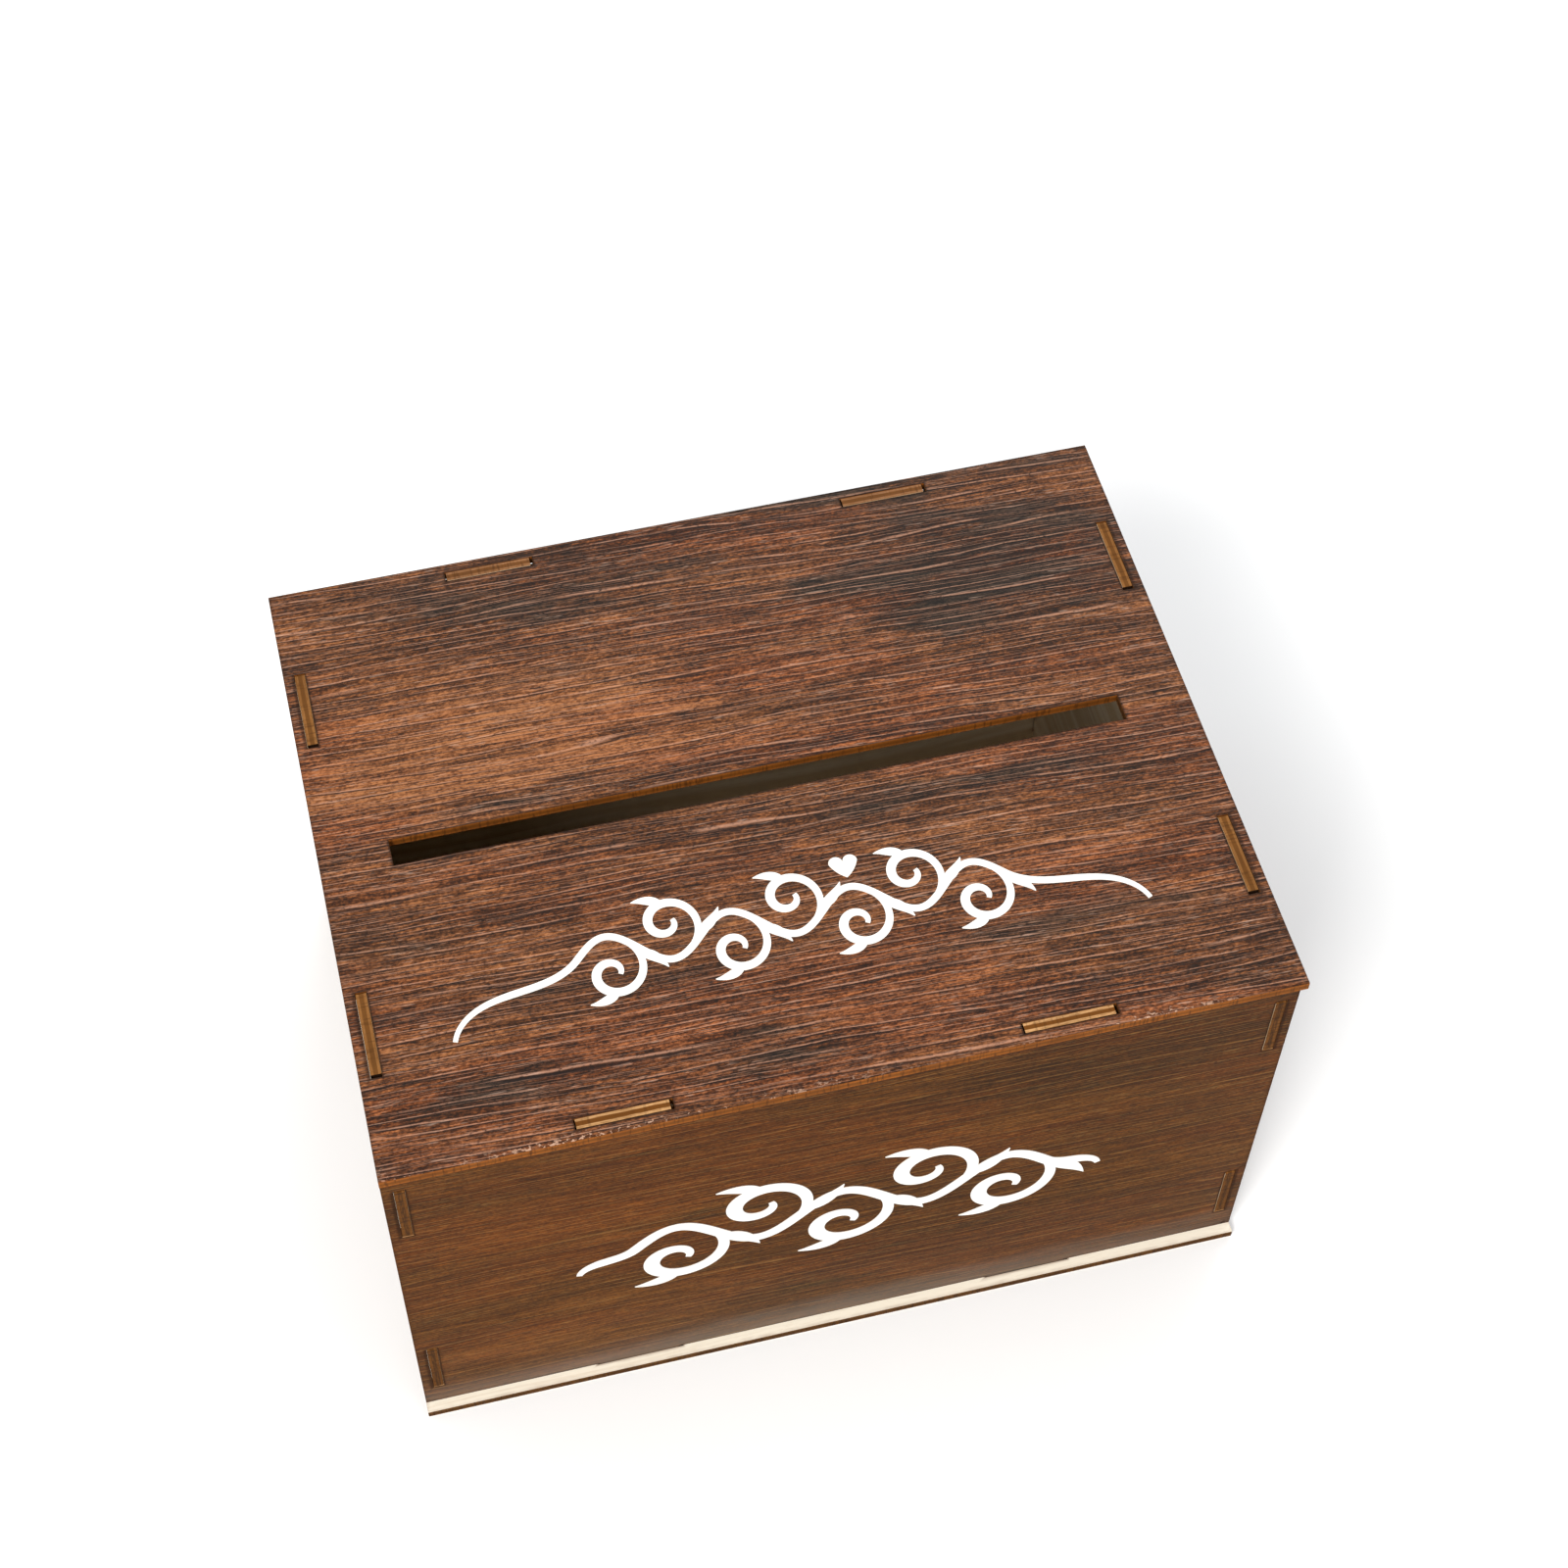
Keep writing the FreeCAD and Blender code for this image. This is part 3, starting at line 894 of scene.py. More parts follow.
@dataclass(frozen=True)
class FilmFinish:
    """Printed walnut film on a panel's outer face.

    Attributes:
        name: the material's name.
        shade: how light the brown is, about 0.5.
        contrast: how strong its figure is.
        clouding: how much grey cloud it has.
        tint: what all its colours are multiplied by.
        gloss: the film's specular level.
        roughness: lowest and highest roughness.
        relief: how deep the figure is embossed, in metres.
        chip_depth: how deep a chip is, as a share of the relief.
        burnt_roughness: how much rougher the scorch is.
        scorch: how much the laser's scorch shows.
        halo: how far the laser's smoke stain reaches, in millimetres.
        painted_sheen_colour: colour of the painted sheen.
        burnt: colour of the scorch.
        chip: colour of the chips.
        chipped: places whose rim is chipped.
        patches: places with a tone of their own, painted shade or a painted sheen.
    """

    name: str
    shade: float = 0.5
    contrast: float = 1.0
    clouding: float = 0.0
    tint: Colour = (1.0, 1.0, 1.0, 1.0)
    gloss: float = 0.3
    roughness: tuple[float, float] = (0.42, 0.58)
    relief: float = 0.25 * MM
    chip_depth: float = 0.5
    burnt_roughness: float = 0.25
    scorch: float = 0.8
    halo: float = 1.5
    painted_sheen_colour: Colour = paint(150, 141, 129)
    burnt: Colour = paint(38, 22, 12)
    chip: Colour = paint(198, 158, 132)
    chipped: tuple[TonePatch, ...] = ()
    patches: tuple[TonePatch, ...] = ()

    def material(self, lay: Lay) -> bpy.types.Material:
        """Make the film for a panel.

        Args:
            lay: how the panel lies.

        Returns:
            The material.
        """
        material, bench, shader = new_material(self.name)
        along, across, _through = lay.coordinates(bench)
        place = bench.flat(along, across)
        shade = self.shade
        clouding = self.clouding
        painted_sheen = 0.0
        for patch in self.patches:
            mask = patch.mask(bench, place)
            shade = bench.times_plus(mask, patch.lift, shade)
            clouding = bench.times_plus(mask, patch.cloud, clouding)
            painted_sheen = bench.times_plus(mask, patch.painted_sheen, painted_sheen)
        grain = WALNUT_GRAIN.place(
            bench,
            place=lay.seeded(bench, place),
            shade=shade,
            contrast=self.contrast,
            clouding=clouding,
        )
        wear = wear_near_cuts(bench, lay.seeded(bench, place), self.halo)
        colour = bench.blend(1.0, grain["Color"], self.tint, "MULTIPLY")
        # Painted sheen: pale reflected light laid over the print where the patches ask for it.
        colour = bench.blend(painted_sheen, colour, self.painted_sheen_colour)
        scorch = bench.times(wear["Scorch"], self.scorch)
        colour = bench.blend(scorch, colour, self.burnt)
        chips = 0.0
        for patch in self.chipped:
            chips = bench.math("MAXIMUM", patch.mask(bench, place), chips)
        chips = bench.times(wear["Chips"], chips)
        colour = bench.blend(chips, colour, self.chip)
        bench.feed(shader.inputs["Base Color"], colour)
        low, high = self.roughness
        rough = bench.times_plus(grain["Fibre"], high - low, low)
        rough = bench.times_plus(scorch, self.burnt_roughness, rough)
        bench.feed(shader.inputs["Roughness"], rough)
        height = bench.times_plus(chips, -self.chip_depth, grain["Height"])
        bench.feed(shader.inputs["Normal"], emboss(bench, height, self.relief, 1.0))
        shader.inputs["Specular IOR Level"].default_value = self.gloss
        return material


@dataclass(frozen=True)
class CutEdgeFinish:
    """Laser-cut ply edges.

    Attributes:
        name: the material's name.
        veneer: colour of the two face veneers.
        core: colour of the middle veneer.
        char: how much of the edge the beam blackened.
        soot_and_shade_from: how far across the grain soot and painted shade start to cover it, in
            millimetres.
        soot_and_shade: colour of the soot and painted shade.
        soot_and_shade_fade: how far the soot and painted shade take to close, in millimetres.
        relief: how deep the fibres and the beam's marks are, in metres.
        roughness: the edges' roughness.
        gloss: their specular level.
    """

    name: str
    veneer: Colour
    core: Colour
    char: float
    soot_and_shade_from: float = 1000.0
    soot_and_shade: Colour = paint(38, 22, 11)
    soot_and_shade_fade: float = 0.5
    relief: float = 0.1 * MM
    roughness: float = 0.75
    gloss: float = 0.08

    def material(self, lay: Lay) -> bpy.types.Material:
        """Make the cut edges for a panel.

        Args:
            lay: how the panel lies.

        Returns:
            The material.
        """
        material, bench, shader = new_material(self.name)
        along, across, through = lay.coordinates(bench)
        layers = PLY_LAYERS.place(
            bench,
            along=bench.math("ADD", bench.math("ADD", along, across), sum(lay.seed)),
            depth=through,
            veneer=self.veneer,
            core=self.core,
            char=self.char,
        )
        # Above a height the edge turns to soot with painted shade, as inside the lid's mortises.
        sooty = bench.step(across, self.soot_and_shade_from, self.soot_and_shade_from + self.soot_and_shade_fade)
        colour = bench.blend(sooty, layers["Color"], self.soot_and_shade)
        bench.feed(shader.inputs["Base Color"], colour)
        bench.feed(shader.inputs["Normal"], emboss(bench, layers["Height"], self.relief, 0.6))
        shader.inputs["Roughness"].default_value = self.roughness
        shader.inputs["Specular IOR Level"].default_value = self.gloss
        return material


@dataclass(frozen=True)
class BarePlyFinish:
    """Bare ply on inner faces and on the base.

    Attributes:
        name: the material's name.
        wood: colour of the veneer.
        halo: how far the laser's smoke stain reaches, in millimetres.
        figure: how strongly its pores and lines show.
        scorch: how much the laser's scorch shows.
        burnt: colour of the scorch.
        relief: how deep its pores are, in metres.
        roughness: its roughness.
        gloss: its specular level.
    """

    name: str
    wood: Colour
    halo: float = 3.0
    figure: float = 1.0
    scorch: float = 0.55
    burnt: Colour = paint(122, 76, 34)
    relief: float = 0.05 * MM
    roughness: float = 0.65
    gloss: float = 0.3

    def material(self, lay: Lay) -> bpy.types.Material:
        """Make the bare ply for a panel.

        Args:
            lay: how the panel lies.

        Returns:
            The material.
        """
        material, bench, shader = new_material(self.name)
        along, across, _through = lay.coordinates(bench)
        place = lay.seeded(bench, bench.flat(along, across))
        veneer = PALE_VENEER.place(bench, place=place, wood=self.wood, figure=self.figure)
        wear = wear_near_cuts(bench, place, self.halo)
        scorch = bench.times(wear["Scorch"], self.scorch)
        colour = bench.blend(scorch, veneer["Color"], self.burnt)
        bench.feed(shader.inputs["Base Color"], colour)
        bench.feed(shader.inputs["Normal"], emboss(bench, veneer["Height"], self.relief, 0.5))
        shader.inputs["Roughness"].default_value = self.roughness
        shader.inputs["Specular IOR Level"].default_value = self.gloss
        return material


@dataclass(frozen=True)
class VinylFinish:
    """Matte white cut vinyl.

    Attributes:
        name: the material's name.
        white: its main colour.
        aged: the faintly warmer white of its uneven places.
        peel: how deep its orange peel is, in metres.
        roughness: its roughness.
    """

    name: str
    white: Colour = paint(246, 243, 236)
    aged: Colour = paint(244, 238, 228)
    peel: float = 0.03 * MM
    roughness: float = 0.55

    def material(self) -> bpy.types.Material:
        """Make the vinyl: near white, faintly uneven, with a fine orange peel.

        Returns:
            The material.
        """
        material, bench, shader = new_material(self.name)
        source = bench.node("ShaderNodeTexCoord").outputs["Object"]
        place = bench.stretch(source, (1 / MM,) * 3, (0.0,) * 3)
        peel = bench.noise(place, (0.9, 0.9, 0.9), 4.0, 2.0)
        stain = bench.noise(place, (0.05, 0.05, 0.05), 9.0, 2.0)
        colour = bench.blend(bench.step(stain, 0.45, 0.7), self.white, self.aged)
        bench.feed(shader.inputs["Base Color"], colour)
        bench.feed(shader.inputs["Normal"], emboss(bench, peel, self.peel, 0.4))
        shader.inputs["Roughness"].default_value = self.roughness
        return material


@dataclass(frozen=True)
class FloorFinish:
    """Plain pale studio floor.

    Attributes:
        name: the material's name.
        white: its main colour.
        cloudy: the colour that it barely leans to in places.
        roughness: its roughness.
    """

    name: str = "pale_floor"
    white: Colour = paint(250, 250, 249)
    cloudy: Colour = paint(252, 252, 251)
    roughness: float = 0.8

    def material(self) -> bpy.types.Material:
        """Make the floor: one pale tone with a barely seen cloudiness.

        Returns:
            The material.
        """
        material, bench, shader = new_material(self.name)
        source = bench.node("ShaderNodeTexCoord").outputs["Object"]
        cloud = bench.noise(source, (2.0, 2.0, 2.0), 1.0, 2.0)
        colour = bench.blend(cloud, self.white, self.cloudy)
        bench.feed(shader.inputs["Base Color"], colour)
        shader.inputs["Roughness"].default_value = self.roughness
        return material


@dataclass
class CutPlan:
    """The cut lines of one ply sheet, read from its frame node.

    Every cut is straight and along an axis, so the sheet is a grid of cells between the places
    that its corners share, each cell either ply or nothing.

    Attributes:
        node: the frame node.
        first: the first axis on the sheet.
        second: the second axis on the sheet.
        through: the axis through the thickness.
        slack: how far below the upper face a corner still counts as on it.
        decimals: decimal places of a metre that the cut lines are rounded to.
        lines: places of the cut lines along the first and second axes.
        span: the sheet's lower and upper face on the through axis.
        solid: which cells between the lines are ply.
    """

    node: str
    first: Axis
    second: Axis
    through: Axis
    slack: float = 0.01 * MM
    decimals: int = 6
    lines: tuple[np.ndarray, np.ndarray] = field(init=False)
    span: tuple[float, float] = field(init=False)
    solid: np.ndarray = field(init=False)

    def __post_init__(self) -> None:
        """Read the node's corners and find which cells are ply.

        A cell is ply when its middle lies inside a triangle of the sheet's upper face, on the
        same side of all three of the triangle's edges.
        """
        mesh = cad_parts[self.node].data
        corners = np.empty(len(mesh.vertices) * 3)
        mesh.vertices.foreach_get("co", corners)
        corners = corners.reshape(-1, 3)
        mesh.calc_loop_triangles()
        triangles = np.empty(len(mesh.loop_triangles) * 3, dtype=int)
        mesh.loop_triangles.foreach_get("vertices", triangles)
        triangles = triangles.reshape(-1, 3)
        heights = corners[:, self.through.value]
        self.span = (float(heights.min()), float(heights.max()))
        flat = np.all(heights[triangles] > self.span[1] - self.slack, axis=1)
        places = np.round(corners[:, [self.first.value, self.second.value]], self.decimals)
        self.lines = (np.unique(places[:, 0]), np.unique(places[:, 1]))
        middles = [(line[1:] + line[:-1]) / 2 for line in self.lines]
        grid = np.stack(np.meshgrid(*middles, indexing="ij"), axis=-1)[..., None, :]
        faces = places[triangles[flat]]
        sides = []
        for start, end in ((0, 1), (1, 2), (2, 0)):
            edge = faces[:, end] - faces[:, start]
            reach = grid - faces[:, start]
            sides.append(edge[:, 0] * reach[..., 1] - edge[:, 1] * reach[..., 0])
        sides = np.stack(sides)
        inside = np.all(sides >= 0, axis=0) | np.all(sides <= 0, axis=0)
        self.solid = inside.any(axis=-1)

    def segments(self) -> np.ndarray:
        """Give every cut between ply and nothing as two end points on the sheet.

        A cut along the second axis stands where two cells beside each other along the first
        axis differ, and the other way round.

        Returns:
            End points, as cuts by 2 by 2.
        """
        first, second = self.lines
        padded = np.pad(self.solid, 1)
        row, column = np.nonzero(padded[1:, 1:-1] != padded[:-1, 1:-1])
        upright = [[first[row], second[column]], [first[row], second[column + 1]]]
        row_two, column_two = np.nonzero(padded[1:-1, 1:] != padded[1:-1, :-1])
        level = [[first[row_two], second[column_two]], [first[row_two + 1], second[column_two]]]
        return np.concatenate([np.moveaxis(np.array(ends), -1, 0) for ends in (upright, level)])

    def fine_lines(self, step: float, raster: float) -> tuple[np.ndarray, np.ndarray]:
        """Add lines between the cut lines, so that the mesh can carry distances.

        Between each two neighbouring cut lines, the new lines are a step apart at most, and
        there is one close to each cut where there is room for it.

        Args:
            step: widest spacing of the lines.
            raster: distance of the close lines from their cut.

        Returns:
            The finer lines along the first and second axes.
        """
        finer = []
        for line in self.lines:
            low, high = line.min(), line.max()
            even = np.linspace(low, high, int(np.ceil((high - low) / step)) + 1)
            added = np.concatenate([even, line - raster, line + raster])
            added = np.unique(np.round(added / raster) * raster)
            away = np.abs(added[:, None] - line).min(axis=1)
            free = (added > low) & (added < high) & (away > raster / 2)
            finer.append(np.unique(np.concatenate([line, added[free]])))
        return finer[0], finer[1]


@dataclass
class PlySheet:
    """One laser-cut ply panel with eased arrises and a finish for each kind of face.

    Attributes:
        body: the body that it rides on.
        slot: its material slot; not used.
        plan: its cut plan, which names the frame node that it stands for.
        outer_is_high: whether the outer face is on the high side of the thickness axis.
        grain: the axis that the grain runs along.
        seed: shift in millimetres that gives it its own figure.
        outer: finish of the outer face.
        inner: finish of the inner face.
        cuts: finishes of the cut edges that face along the first and the second axis.
        arris: width of the eased arrises, in metres.
        arris_steps: flats that an eased arris is made of.
        sharp: smallest turn between two faces that is eased, in radians.
        step: widest spacing of the mesh lines, in metres.
        close: distance of the mesh lines beside a cut, in metres.
    """

    body: Body
    slot: Slot
    plan: CutPlan
    outer_is_high: bool
    grain: Axis
    seed: tuple[float, float]
    outer: FilmFinish | BarePlyFinish
    inner: BarePlyFinish
    cuts: tuple[CutEdgeFinish, CutEdgeFinish]
    arris: float = 0.16 * MM
    arris_steps: int = 2
    sharp: float = math.radians(40)
    step: float = 8.0 * MM
    close: float = 2.0 * MM

    def lay(self) -> Lay:
        """Say how the panel lies, for its finishes."""
        across = self.plan.second if self.grain is self.plan.first else self.plan.first
        low, high = self.plan.span
        return Lay(self.grain, across, self.plan.through, low, high - low, self.seed)

    def handedness(self) -> int:
        """Give 1 where first, second and through make a right hand, and -1 where a left."""
        order = (self.plan.first.value, self.plan.second.value, self.plan.through.value)
        return 1 if order in ((0, 1, 2), (1, 2, 0), (2, 0, 1)) else -1

    def faces(self) -> tuple[np.ndarray, np.ndarray, np.ndarray, np.ndarray]:
        """Work out places, corners, four-cornered faces and the skin of each face.

        Every ply cell has a face on each side of the sheet. Between a ply cell and an empty
        one stands a wall through the thickness, and the order of its corners depends on which
        of the two is ply, so that it looks out of the ply.

        Returns:
            Places on the sheet, corners, faces as corner numbers, and each face's skin.
        """
        first, second = self.plan.fine_lines(self.step, self.close)
        middles = [(line[1:] + line[:-1]) / 2 for line in (first, second)]
        cells = [np.searchsorted(line, middle) - 1 for line, middle in zip(self.plan.lines, middles)]
        solid = self.plan.solid[np.ix_(*cells)]
        count = (len(first), len(second))
        number = np.arange(2 * count[0] * count[1]).reshape(2, *count)
        grid = np.stack(np.meshgrid(first, second, indexing="ij"), axis=-1)
        corners = np.empty((2, *count, 3))
        corners[..., self.plan.first.value] = grid[..., 0]
        corners[..., self.plan.second.value] = grid[..., 1]
        corners[0, ..., self.plan.through.value] = self.plan.span[0]
        corners[1, ..., self.plan.through.value] = self.plan.span[1]
        quads = []
        skins = []
        sheet_sides = (
            (0, Skin.INNER if self.outer_is_high else Skin.OUTER),
            (1, Skin.OUTER if self.outer_is_high else Skin.INNER),
        )
        for level, skin in sheet_sides:
            face = grid_quads(number[level])[solid]
            quads.append(face[:, ::-1] if level == 0 else face)
            skins.append(np.full(len(face), skin.value))
        padded = np.pad(solid, 1).astype(int)
        steps = (
            (padded[1:, 1:-1] - padded[:-1, 1:-1], (0, 1), Skin.FIRST_CUT, False),
            (padded[1:-1, 1:] - padded[1:-1, :-1], (1, 0), Skin.SECOND_CUT, True),
        )
        for change, run, skin, swap in steps:
            rows, columns = change.shape
            near = number[:, :rows, :columns]
            far = number[:, run[0] :, run[1] :][:, :rows, :columns]
            ring = np.stack([near[0], near[1], far[1], far[0]], axis=-1)
            for way in (1, -1):
                wall = ring[change == way]
                quads.append(wall[:, ::-1] if (way == 1) == swap else wall)
                skins.append(np.full(len(wall), skin.value))
        places = np.tile(grid.reshape(-1, 2), (2, 1))
        return places, corners.reshape(-1, 3), np.concatenate(quads), np.concatenate(skins)

    def distances(self, places: np.ndarray) -> dict[Distance, np.ndarray]:
        """Measure how far places on the sheet are from its cuts and from its rim.

        The nearest point of a cut is its start plus its way times a share, which is the place
        projected onto the way and kept between 0 and 1. The rim is the sheet's outer box.

        Args:
            places: points on the sheet, in metres.

        Returns:
            Both distances of each place, in millimetres.
        """
        cuts = self.plan.segments()
        starts = cuts[:, 0]
        ways = cuts[:, 1] - starts
        offset = places[:, None] - starts
        share = np.clip((offset * ways).sum(-1) / (ways**2).sum(-1), 0.0, 1.0)
        gaps = np.linalg.norm(offset - share[..., None] * ways, axis=-1).min(axis=1)
        low = np.array([line.min() for line in self.plan.lines])
        high = np.array([line.max() for line in self.plan.lines])
        rims = np.minimum(places - low, high - places).min(axis=1)
        return {Distance.TO_CUT: gaps / MM, Distance.TO_RIM: rims / MM}

    def build(self) -> bpy.types.Object:
        """Build the panel, dress it and let it stand for its frame node.

        Returns:
            The finished piece.
        """
        places, corners, quads, skins = self.faces()
        used, packed = np.unique(quads, return_inverse=True)
        packed = packed.reshape(-1, 4)
        if self.handedness() < 0:
            packed = packed[:, ::-1]
        name = f"{self.plan.node}_sheet"
        mesh = smooth_mesh(name, corners[used], packed)
        for distance, values in self.distances(places[used]).items():
            kept = mesh.attributes.new(distance.value, "FLOAT", "POINT")
            kept.data.foreach_set("value", values.astype(np.float32))
        lay = self.lay()
        for finish in (self.outer, self.inner, *self.cuts):
            mesh.materials.append(finish.material(lay))
        mesh.polygons.foreach_set("material_index", skins.astype(np.int32))
        mesh.update()
        piece = put(name, mesh)
        ease = piece.modifiers.new("eased_arrises", "BEVEL")
        ease.width = self.arris
        ease.segments = self.arris_steps
        ease.limit_method = "ANGLE"
        ease.angle_limit = self.sharp
        ease.harden_normals = True
        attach(piece, self.body.value)
        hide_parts(self.plan.node)
        return piece


@dataclass
class VinylPiece:
    """A cut-vinyl ornament, which is its frame node with a finish of its own.

    Attributes:
        node: the frame node.
        finish: its finish.
    """

    node: str
    finish: VinylFinish

    def dress(self) -> bpy.types.Object:
        """Give the node its vinyl.

        Returns:
            The node's object.
        """
        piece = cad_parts[self.node]
        piece.data.materials.clear()
        piece.data.materials.append(self.finish.material())
        return piece


INNER_PLY = BarePlyFinish("inner_bare_ply", paint(202, 175, 136))
BASE_PLY = BarePlyFinish("base_bare_ply", paint(252, 242, 222), halo=1.4, figure=0.4)
STRIPED_CUT = CutEdgeFinish("striped_cut", paint(200, 152, 101), paint(108, 63, 19), 0.4)
DULL_CUT = CutEdgeFinish("dull_cut", paint(150, 105, 70), paint(105, 67, 36), 0.5)
GOLDEN_CUT = CutEdgeFinish("golden_cut", paint(141, 95, 50), paint(104, 66, 29), 0.45)
# The tabs' cut sides darken above 147.8 mm, inside the lid's mortises: laser soot and painted shade.
TAB_CUT = CutEdgeFinish("tab_cut", paint(98, 59, 18), paint(64, 38, 12), 0.7, soot_and_shade_from=147.8)
ORANGE_CUT = CutEdgeFinish("orange_cut", paint(150, 84, 28), paint(118, 66, 20), 0.6)
CHARRED_CUT = CutEdgeFinish("charred_cut", paint(84, 50, 20), paint(60, 36, 14), 0.8)
DARK_CUT = CutEdgeFinish("dark_cut", paint(98, 62, 18), paint(66, 40, 10), 0.8)


@dataclass
class BoxShell:
    """Base panel and four walls, put up, with the front ornament.

    Attributes:
        body: the body that all its pieces ride on.
        wall_film: finish of the walls' outer faces.
    """

    body: Body = Body.BOX
    # Walls' film: the lid's print made darker and more olive as painted shade and warm bounce light
    # on the walls, with a softer figure.
    wall_film: FilmFinish = FilmFinish(
        "wall_film",
        shade=0.455,
        contrast=0.42,
        clouding=-0.04,
        tint=(0.77, 0.72, 0.30, 1.0),
        gloss=0.05,
        roughness=(0.5, 0.62),
        relief=0.06 * MM,
        patches=(
            TonePatch((-80.0, 95.0), (80.0, 50.0), lift=0.04),
            TonePatch((75.0, 128.0), (90.0, 30.0), lift=-0.09, cloud=0.07),
            TonePatch((20.0, 105.0), (60.0, 16.0), lift=0.05),
            TonePatch((30.0, 48.0), (60.0, 24.0), lift=-0.02, cloud=0.05),
            TonePatch((-75.0, 30.0), (70.0, 24.0), lift=0.08),
            # Painted shadow of the lid's overhang along the top of each wall.
            TonePatch((0.0, 149.0), (220.0, 12.0), lift=-0.1, ragged=0.3),
            # Painted sheen at the foot of each wall: reflected light of the floor and the base's
            # ledge.
            TonePatch((0.0, 0.0), (300.0, 60.0), painted_sheen=0.04, ragged=0.2),
            TonePatch((-15.0, 0.0), (260.0, 20.0), painted_sheen=0.33, ragged=0.2),
        ),
    )

    def panels(self) -> list[PlySheet]:
        """Plan the four walls and the base.

        Returns:
            The panels.
        """
        long_wall = {"first": Axis.X, "second": Axis.Z, "through": Axis.Y}
        side_wall = {"first": Axis.Y, "second": Axis.Z, "through": Axis.X}
        walls = (
            ("front_panel", long_wall, False, (310.0, 40.0), STRIPED_CUT),
            ("back_panel", long_wall, True, (-420.0, 260.0), DULL_CUT),
            ("left_panel", side_wall, False, (900.0, -180.0), GOLDEN_CUT),
            ("right_panel", side_wall, True, (-770.0, -350.0), GOLDEN_CUT),
        )
        panels = [
            PlySheet(
                self.body,
                Slot.WALNUT_PLY,
                CutPlan(node, **axes),
                outer_is_high,
                axes["first"],
                seed,
                self.wall_film,
                INNER_PLY,
                (TAB_CUT, top_cut),
            )
            for node, axes, outer_is_high, seed, top_cut in walls
        ]
        base = PlySheet(
            self.body,
            Slot.BARE_PLY,
            CutPlan("base_panel", Axis.X, Axis.Y, Axis.Z),
            False,
            Axis.X,
            (60.0, 700.0),
            BASE_PLY,
            BASE_PLY,
            (DARK_CUT, DARK_CUT),
        )
        return [*panels, base]

    def build(self) -> list[bpy.types.Object]:
        """Build the shell's pieces.

        Returns:
            The pieces.
        """
        pieces = [panel.build() for panel in self.panels()]
        pieces.append(VinylPiece("front_vine", VinylFinish("front_vinyl")).dress())
        return pieces


@dataclass
class LiftOffLid:
    """The top panel with its card slot, the vine and the heart.

    Attributes:
        body: the body that all its pieces ride on.
        film: finish of the top panel's outer face.
    """

    body: Body = Body.LID
    film: FilmFinish = FilmFinish(
        "lid_film",
        shade=0.5,
        tint=(0.92, 0.89, 0.88, 1.0),
        gloss=0.12,
        chipped=(TonePatch((-55.0, -98.0), (95.0, 12.0)), TonePatch((75.0, -98.0), (40.0, 5.0))),
        patches=(
            TonePatch((-75.0, 28.0), (85.0, 34.0), lift=0.18, cloud=-0.07),
            TonePatch((-10.0, 20.0), (70.0, 14.0), lift=0.06),
            TonePatch((20.0, 98.0), (190.0, 13.0), lift=-0.2, cloud=0.2, ragged=0.4),
            TonePatch((-38.0, 79.0), (62.0, 13.0), lift=-0.16, cloud=0.16),
            TonePatch((80.0, 63.0), (62.0, 32.0), lift=-0.33, cloud=0.18),
            TonePatch((66.0, 46.0), (26.0, 9.0), lift=-0.05, cloud=0.06),
            TonePatch((22.0, 22.0), (24.0, 6.0), lift=-0.1, cloud=0.1),
            TonePatch((95.0, -13.0), (48.0, 13.0), lift=-0.1, cloud=0.12),
            TonePatch((38.0, -15.0), (36.0, 8.0), lift=-0.06, cloud=0.05),
            TonePatch((-95.0, -80.0), (44.0, 10.0), lift=-0.12, cloud=0.14),
            TonePatch((-18.0, -87.0), (34.0, 7.0), lift=-0.08, cloud=0.1),
            TonePatch((0.0, -88.0), (190.0, 10.0), lift=-0.06, ragged=0.4),
        ),
    )

    def build(self) -> list[bpy.types.Object]:
        """Build the lid's pieces.

        Returns:
            The pieces.
        """
        panel = PlySheet(
            self.body,
            Slot.WALNUT_PLY,
            CutPlan("top_panel", Axis.X, Axis.Y, Axis.Z),
            True,
            Axis.X,
            (0.0, 0.0),
            self.film,
            INNER_PLY,
            (CHARRED_CUT, ORANGE_CUT),
        )
        pieces = [panel.build()]
        for node in ("top_vine", "top_heart"):
            pieces.append(VinylPiece(node, VinylFinish(f"{node}_vinyl")).dress())
        return pieces


@dataclass(frozen=True)
class SoftBox:
    """A square area lamp aimed at a point.

    Attributes:
        name: the lamp's name.
        place: where its middle hangs, in metres.
        side: the length of its sides, in metres.
        power: its power, in watts.
        colour: its linear colour.
        aim: the point that it faces, in metres.
    """

    name: str
    place: tuple[float, float, float]
    side: float
    power: float
    colour: tuple[float, float, float]
    aim: tuple[float, float, float] = (0.0, 0.0, 0.08)

    def build(self) -> bpy.types.Object:
        """Hang the lamp.

        Returns:
            The lamp's object.
        """
        lamp = bpy.data.lights.new(self.name, "AREA")
        lamp.shape = "SQUARE"
        lamp.size = self.side
        lamp.energy = self.power
        lamp.color = self.colour
        hung = put(self.name, lamp)
        hung.location = self.place
        way = Vector(self.aim) - Vector(self.place)
        hung.rotation_euler = way.to_track_quat("-Z", "Y").to_euler()
        return hung


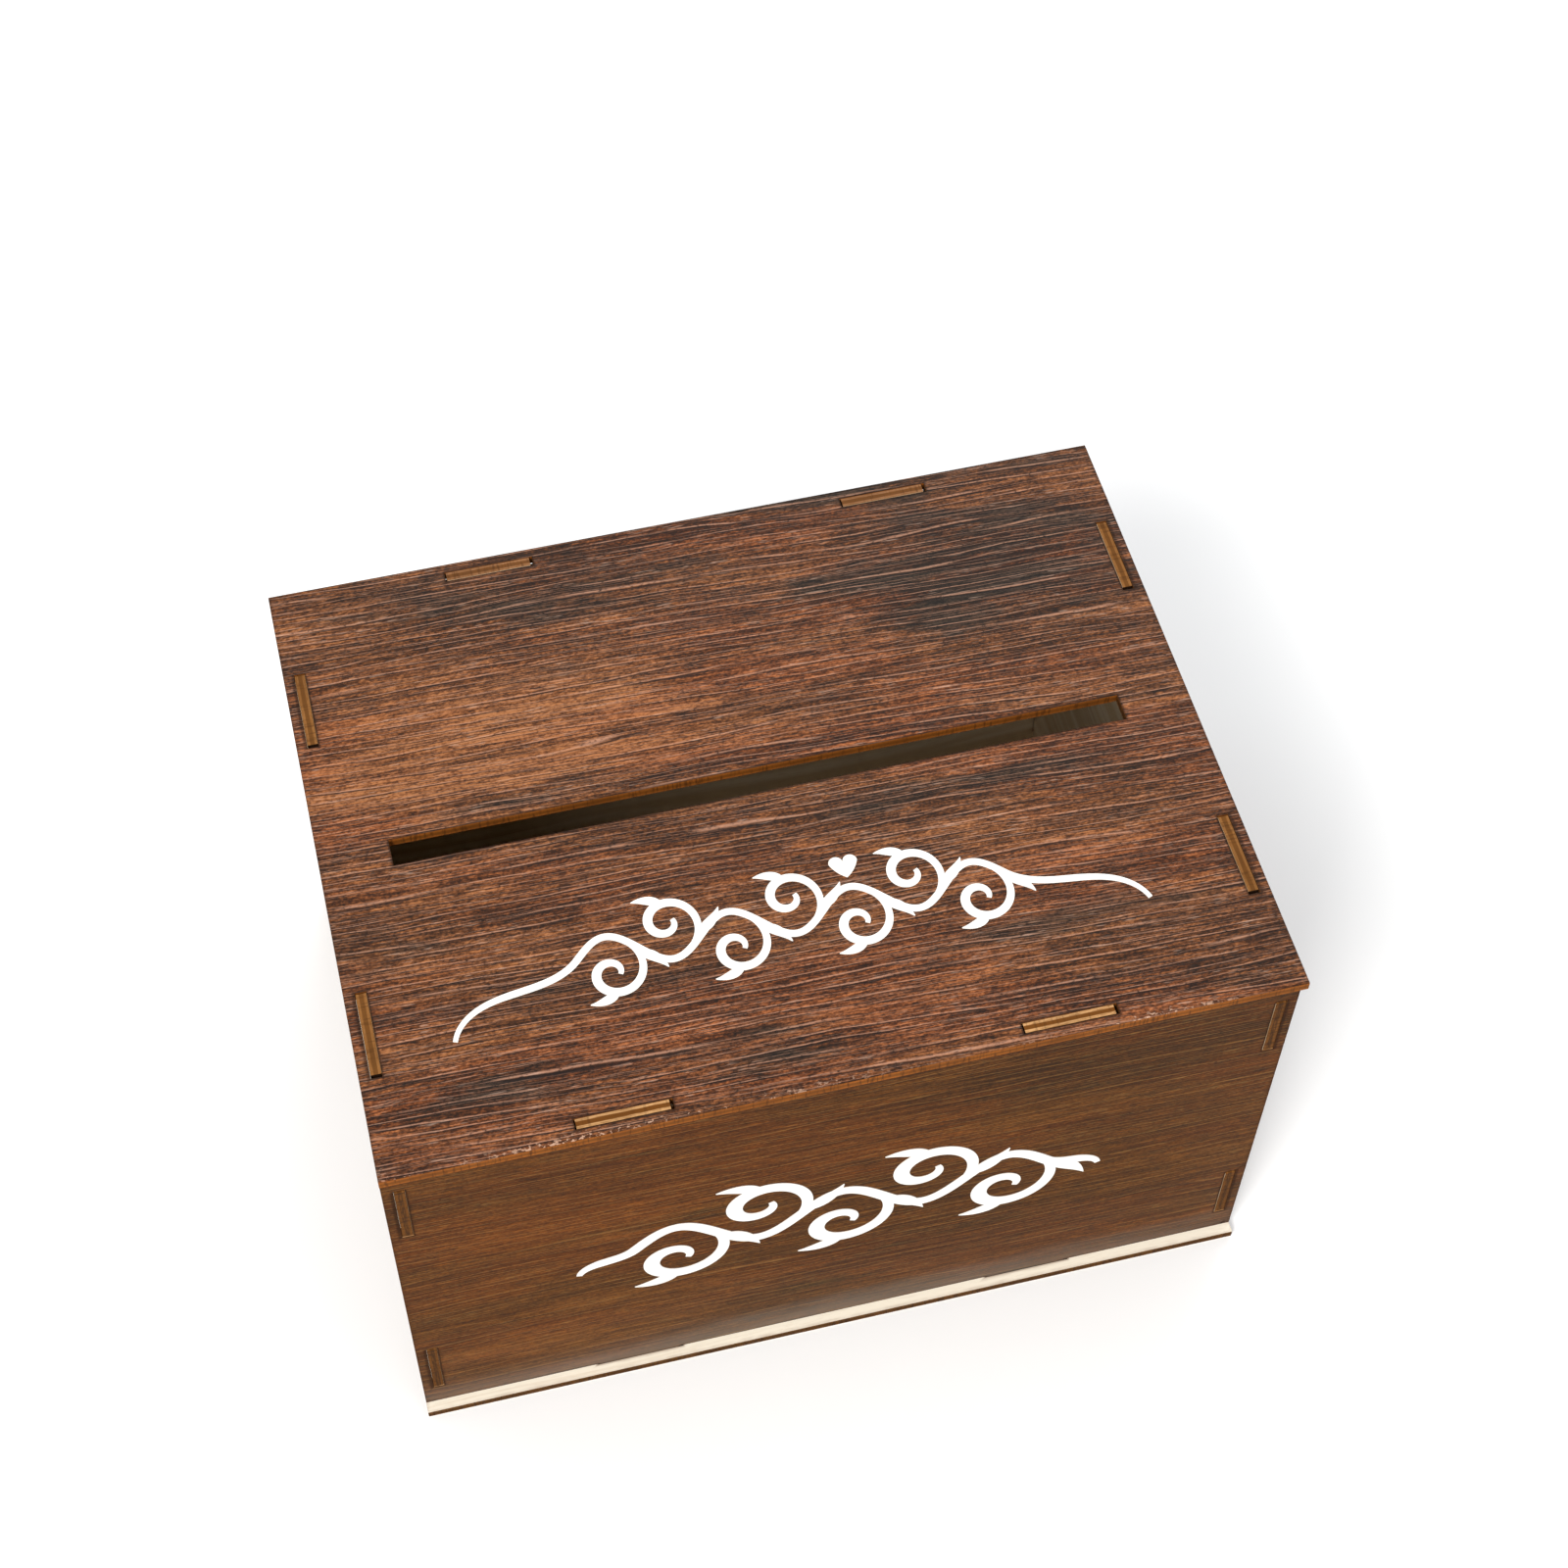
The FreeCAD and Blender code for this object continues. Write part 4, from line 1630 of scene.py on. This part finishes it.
@dataclass
class Studio:
    """Floor, lamps, sky and camera.

    Attributes:
        lamps: the soft boxes.
        floor_reach: how far the floor goes to each side and to the front, in metres.
        floor_depth: how far it goes to the back, in metres.
        floor_bend: where its back starts to sweep up, in metres.
        floor_sweep: how steeply it sweeps up, in metres for the first metre.
        floor_gap: how far it lies under the box, in metres.
        floor_cell: the size of its mesh cells across and along, in metres.
        camera_place: where the camera stands, in metres.
        heading: how far the camera turns about up, in radians.
        tilt_down: how far it looks down, in radians.
        roll: how far it rolls about its own view, in radians.
        lens_mm: its focal length on a 36 mm sensor, in millimetres.
        shift: sideways and upward shift of the lens, in sensor widths.
        sky: colour of the even light.
        sky_strength: strength of the even light.
    """

    lamps: tuple[SoftBox, ...] = (
        SoftBox("key", (-2.0, -2.2, 3.0), 1.4, 128.0, (1.0, 0.985, 0.96)),
        SoftBox("rim", (1.2, 2.6, 2.4), 2.0, 36.0, (0.96, 0.98, 1.0)),
    )
    floor_reach: float = 3.0
    floor_depth: float = 4.0
    floor_bend: float = 2.0
    floor_sweep: float = 0.35
    floor_gap: float = 0.3 * MM
    floor_cell: tuple[float, float] = (0.25, 0.125)
    camera_place: tuple[float, float, float] = (-0.11589, -0.44293, 0.81011)
    heading: float = math.radians(12.74)
    tilt_down: float = math.radians(53.88)
    roll: float = math.radians(-0.75)
    lens_mm: float = 66.08
    shift: tuple[float, float] = (0.0489, -0.0448)
    sky: Colour = (0.97, 0.98, 1.0, 1.0)
    sky_strength: float = 0.79

    def build_floor(self) -> None:
        """Lay the floor: a wide sheet just under the box, whose far side sweeps up.

        The sheet is a grid of steps across and along. Its height is zero up to the bend, then
        grows with the square of the distance past it.
        """
        wide, deep = self.floor_cell
        across = np.arange(-self.floor_reach, self.floor_reach + wide / 2, wide)
        along = np.arange(-self.floor_reach, self.floor_depth + deep / 2, deep)
        x, y = np.meshgrid(across, along, indexing="ij")
        z = self.floor_sweep * np.clip(y - self.floor_bend, 0.0, None) ** 2 - self.floor_gap
        corners = np.stack([x, y, z], axis=-1).reshape(-1, 3)
        quads = grid_quads(np.arange(x.size).reshape(x.shape)).reshape(-1, 4)
        mesh = smooth_mesh("floor", corners, quads)
        mesh.materials.append(FloorFinish().material())
        put("floor", mesh)

    def build_camera(self) -> bpy.types.Object:
        """Set the camera: turned about up, tilted down, then rolled about its own view.

        Returns:
            The camera's object.
        """
        lens = bpy.data.cameras.new("camera")
        lens.sensor_width = 36.0
        lens.lens = self.lens_mm
        lens.shift_x, lens.shift_y = self.shift
        lens.clip_start = 0.01
        camera = put("camera", lens)
        turn = Matrix.Rotation(-self.heading, 4, "Z")
        tilt = Matrix.Rotation(math.pi / 2 - self.tilt_down, 4, "X")
        roll = Matrix.Rotation(self.roll, 4, "Z")
        camera.matrix_world = Matrix.Translation(self.camera_place) @ turn @ tilt @ roll
        bpy.context.scene.camera = camera
        return camera

    def build_sky(self) -> None:
        """Fill the room with even light."""
        world = bpy.data.worlds.new("studio_sky")
        world.use_nodes = True
        ground = world.node_tree.nodes.get("Background")
        ground.inputs["Color"].default_value = self.sky
        ground.inputs["Strength"].default_value = self.sky_strength
        bpy.context.scene.world = world

    def build(self) -> None:
        """Build the studio."""
        self.build_floor()
        self.build_sky()
        for lamp in self.lamps:
            lamp.build()
        self.build_camera()
        bpy.context.scene.view_settings.view_transform = "Standard"


def main() -> None:
    """Build the box and the studio in order, and report each piece."""
    logging.basicConfig(level=logging.INFO, format="%(name)s: %(message)s")
    for assembly in (BoxShell(), LiftOffLid()):
        for piece in assembly.build():
            LOG.info("%s: %s on %s", type(assembly).__name__, piece.name, assembly.body.value)
    Studio().build()


if __name__ == "__main__":
    main()
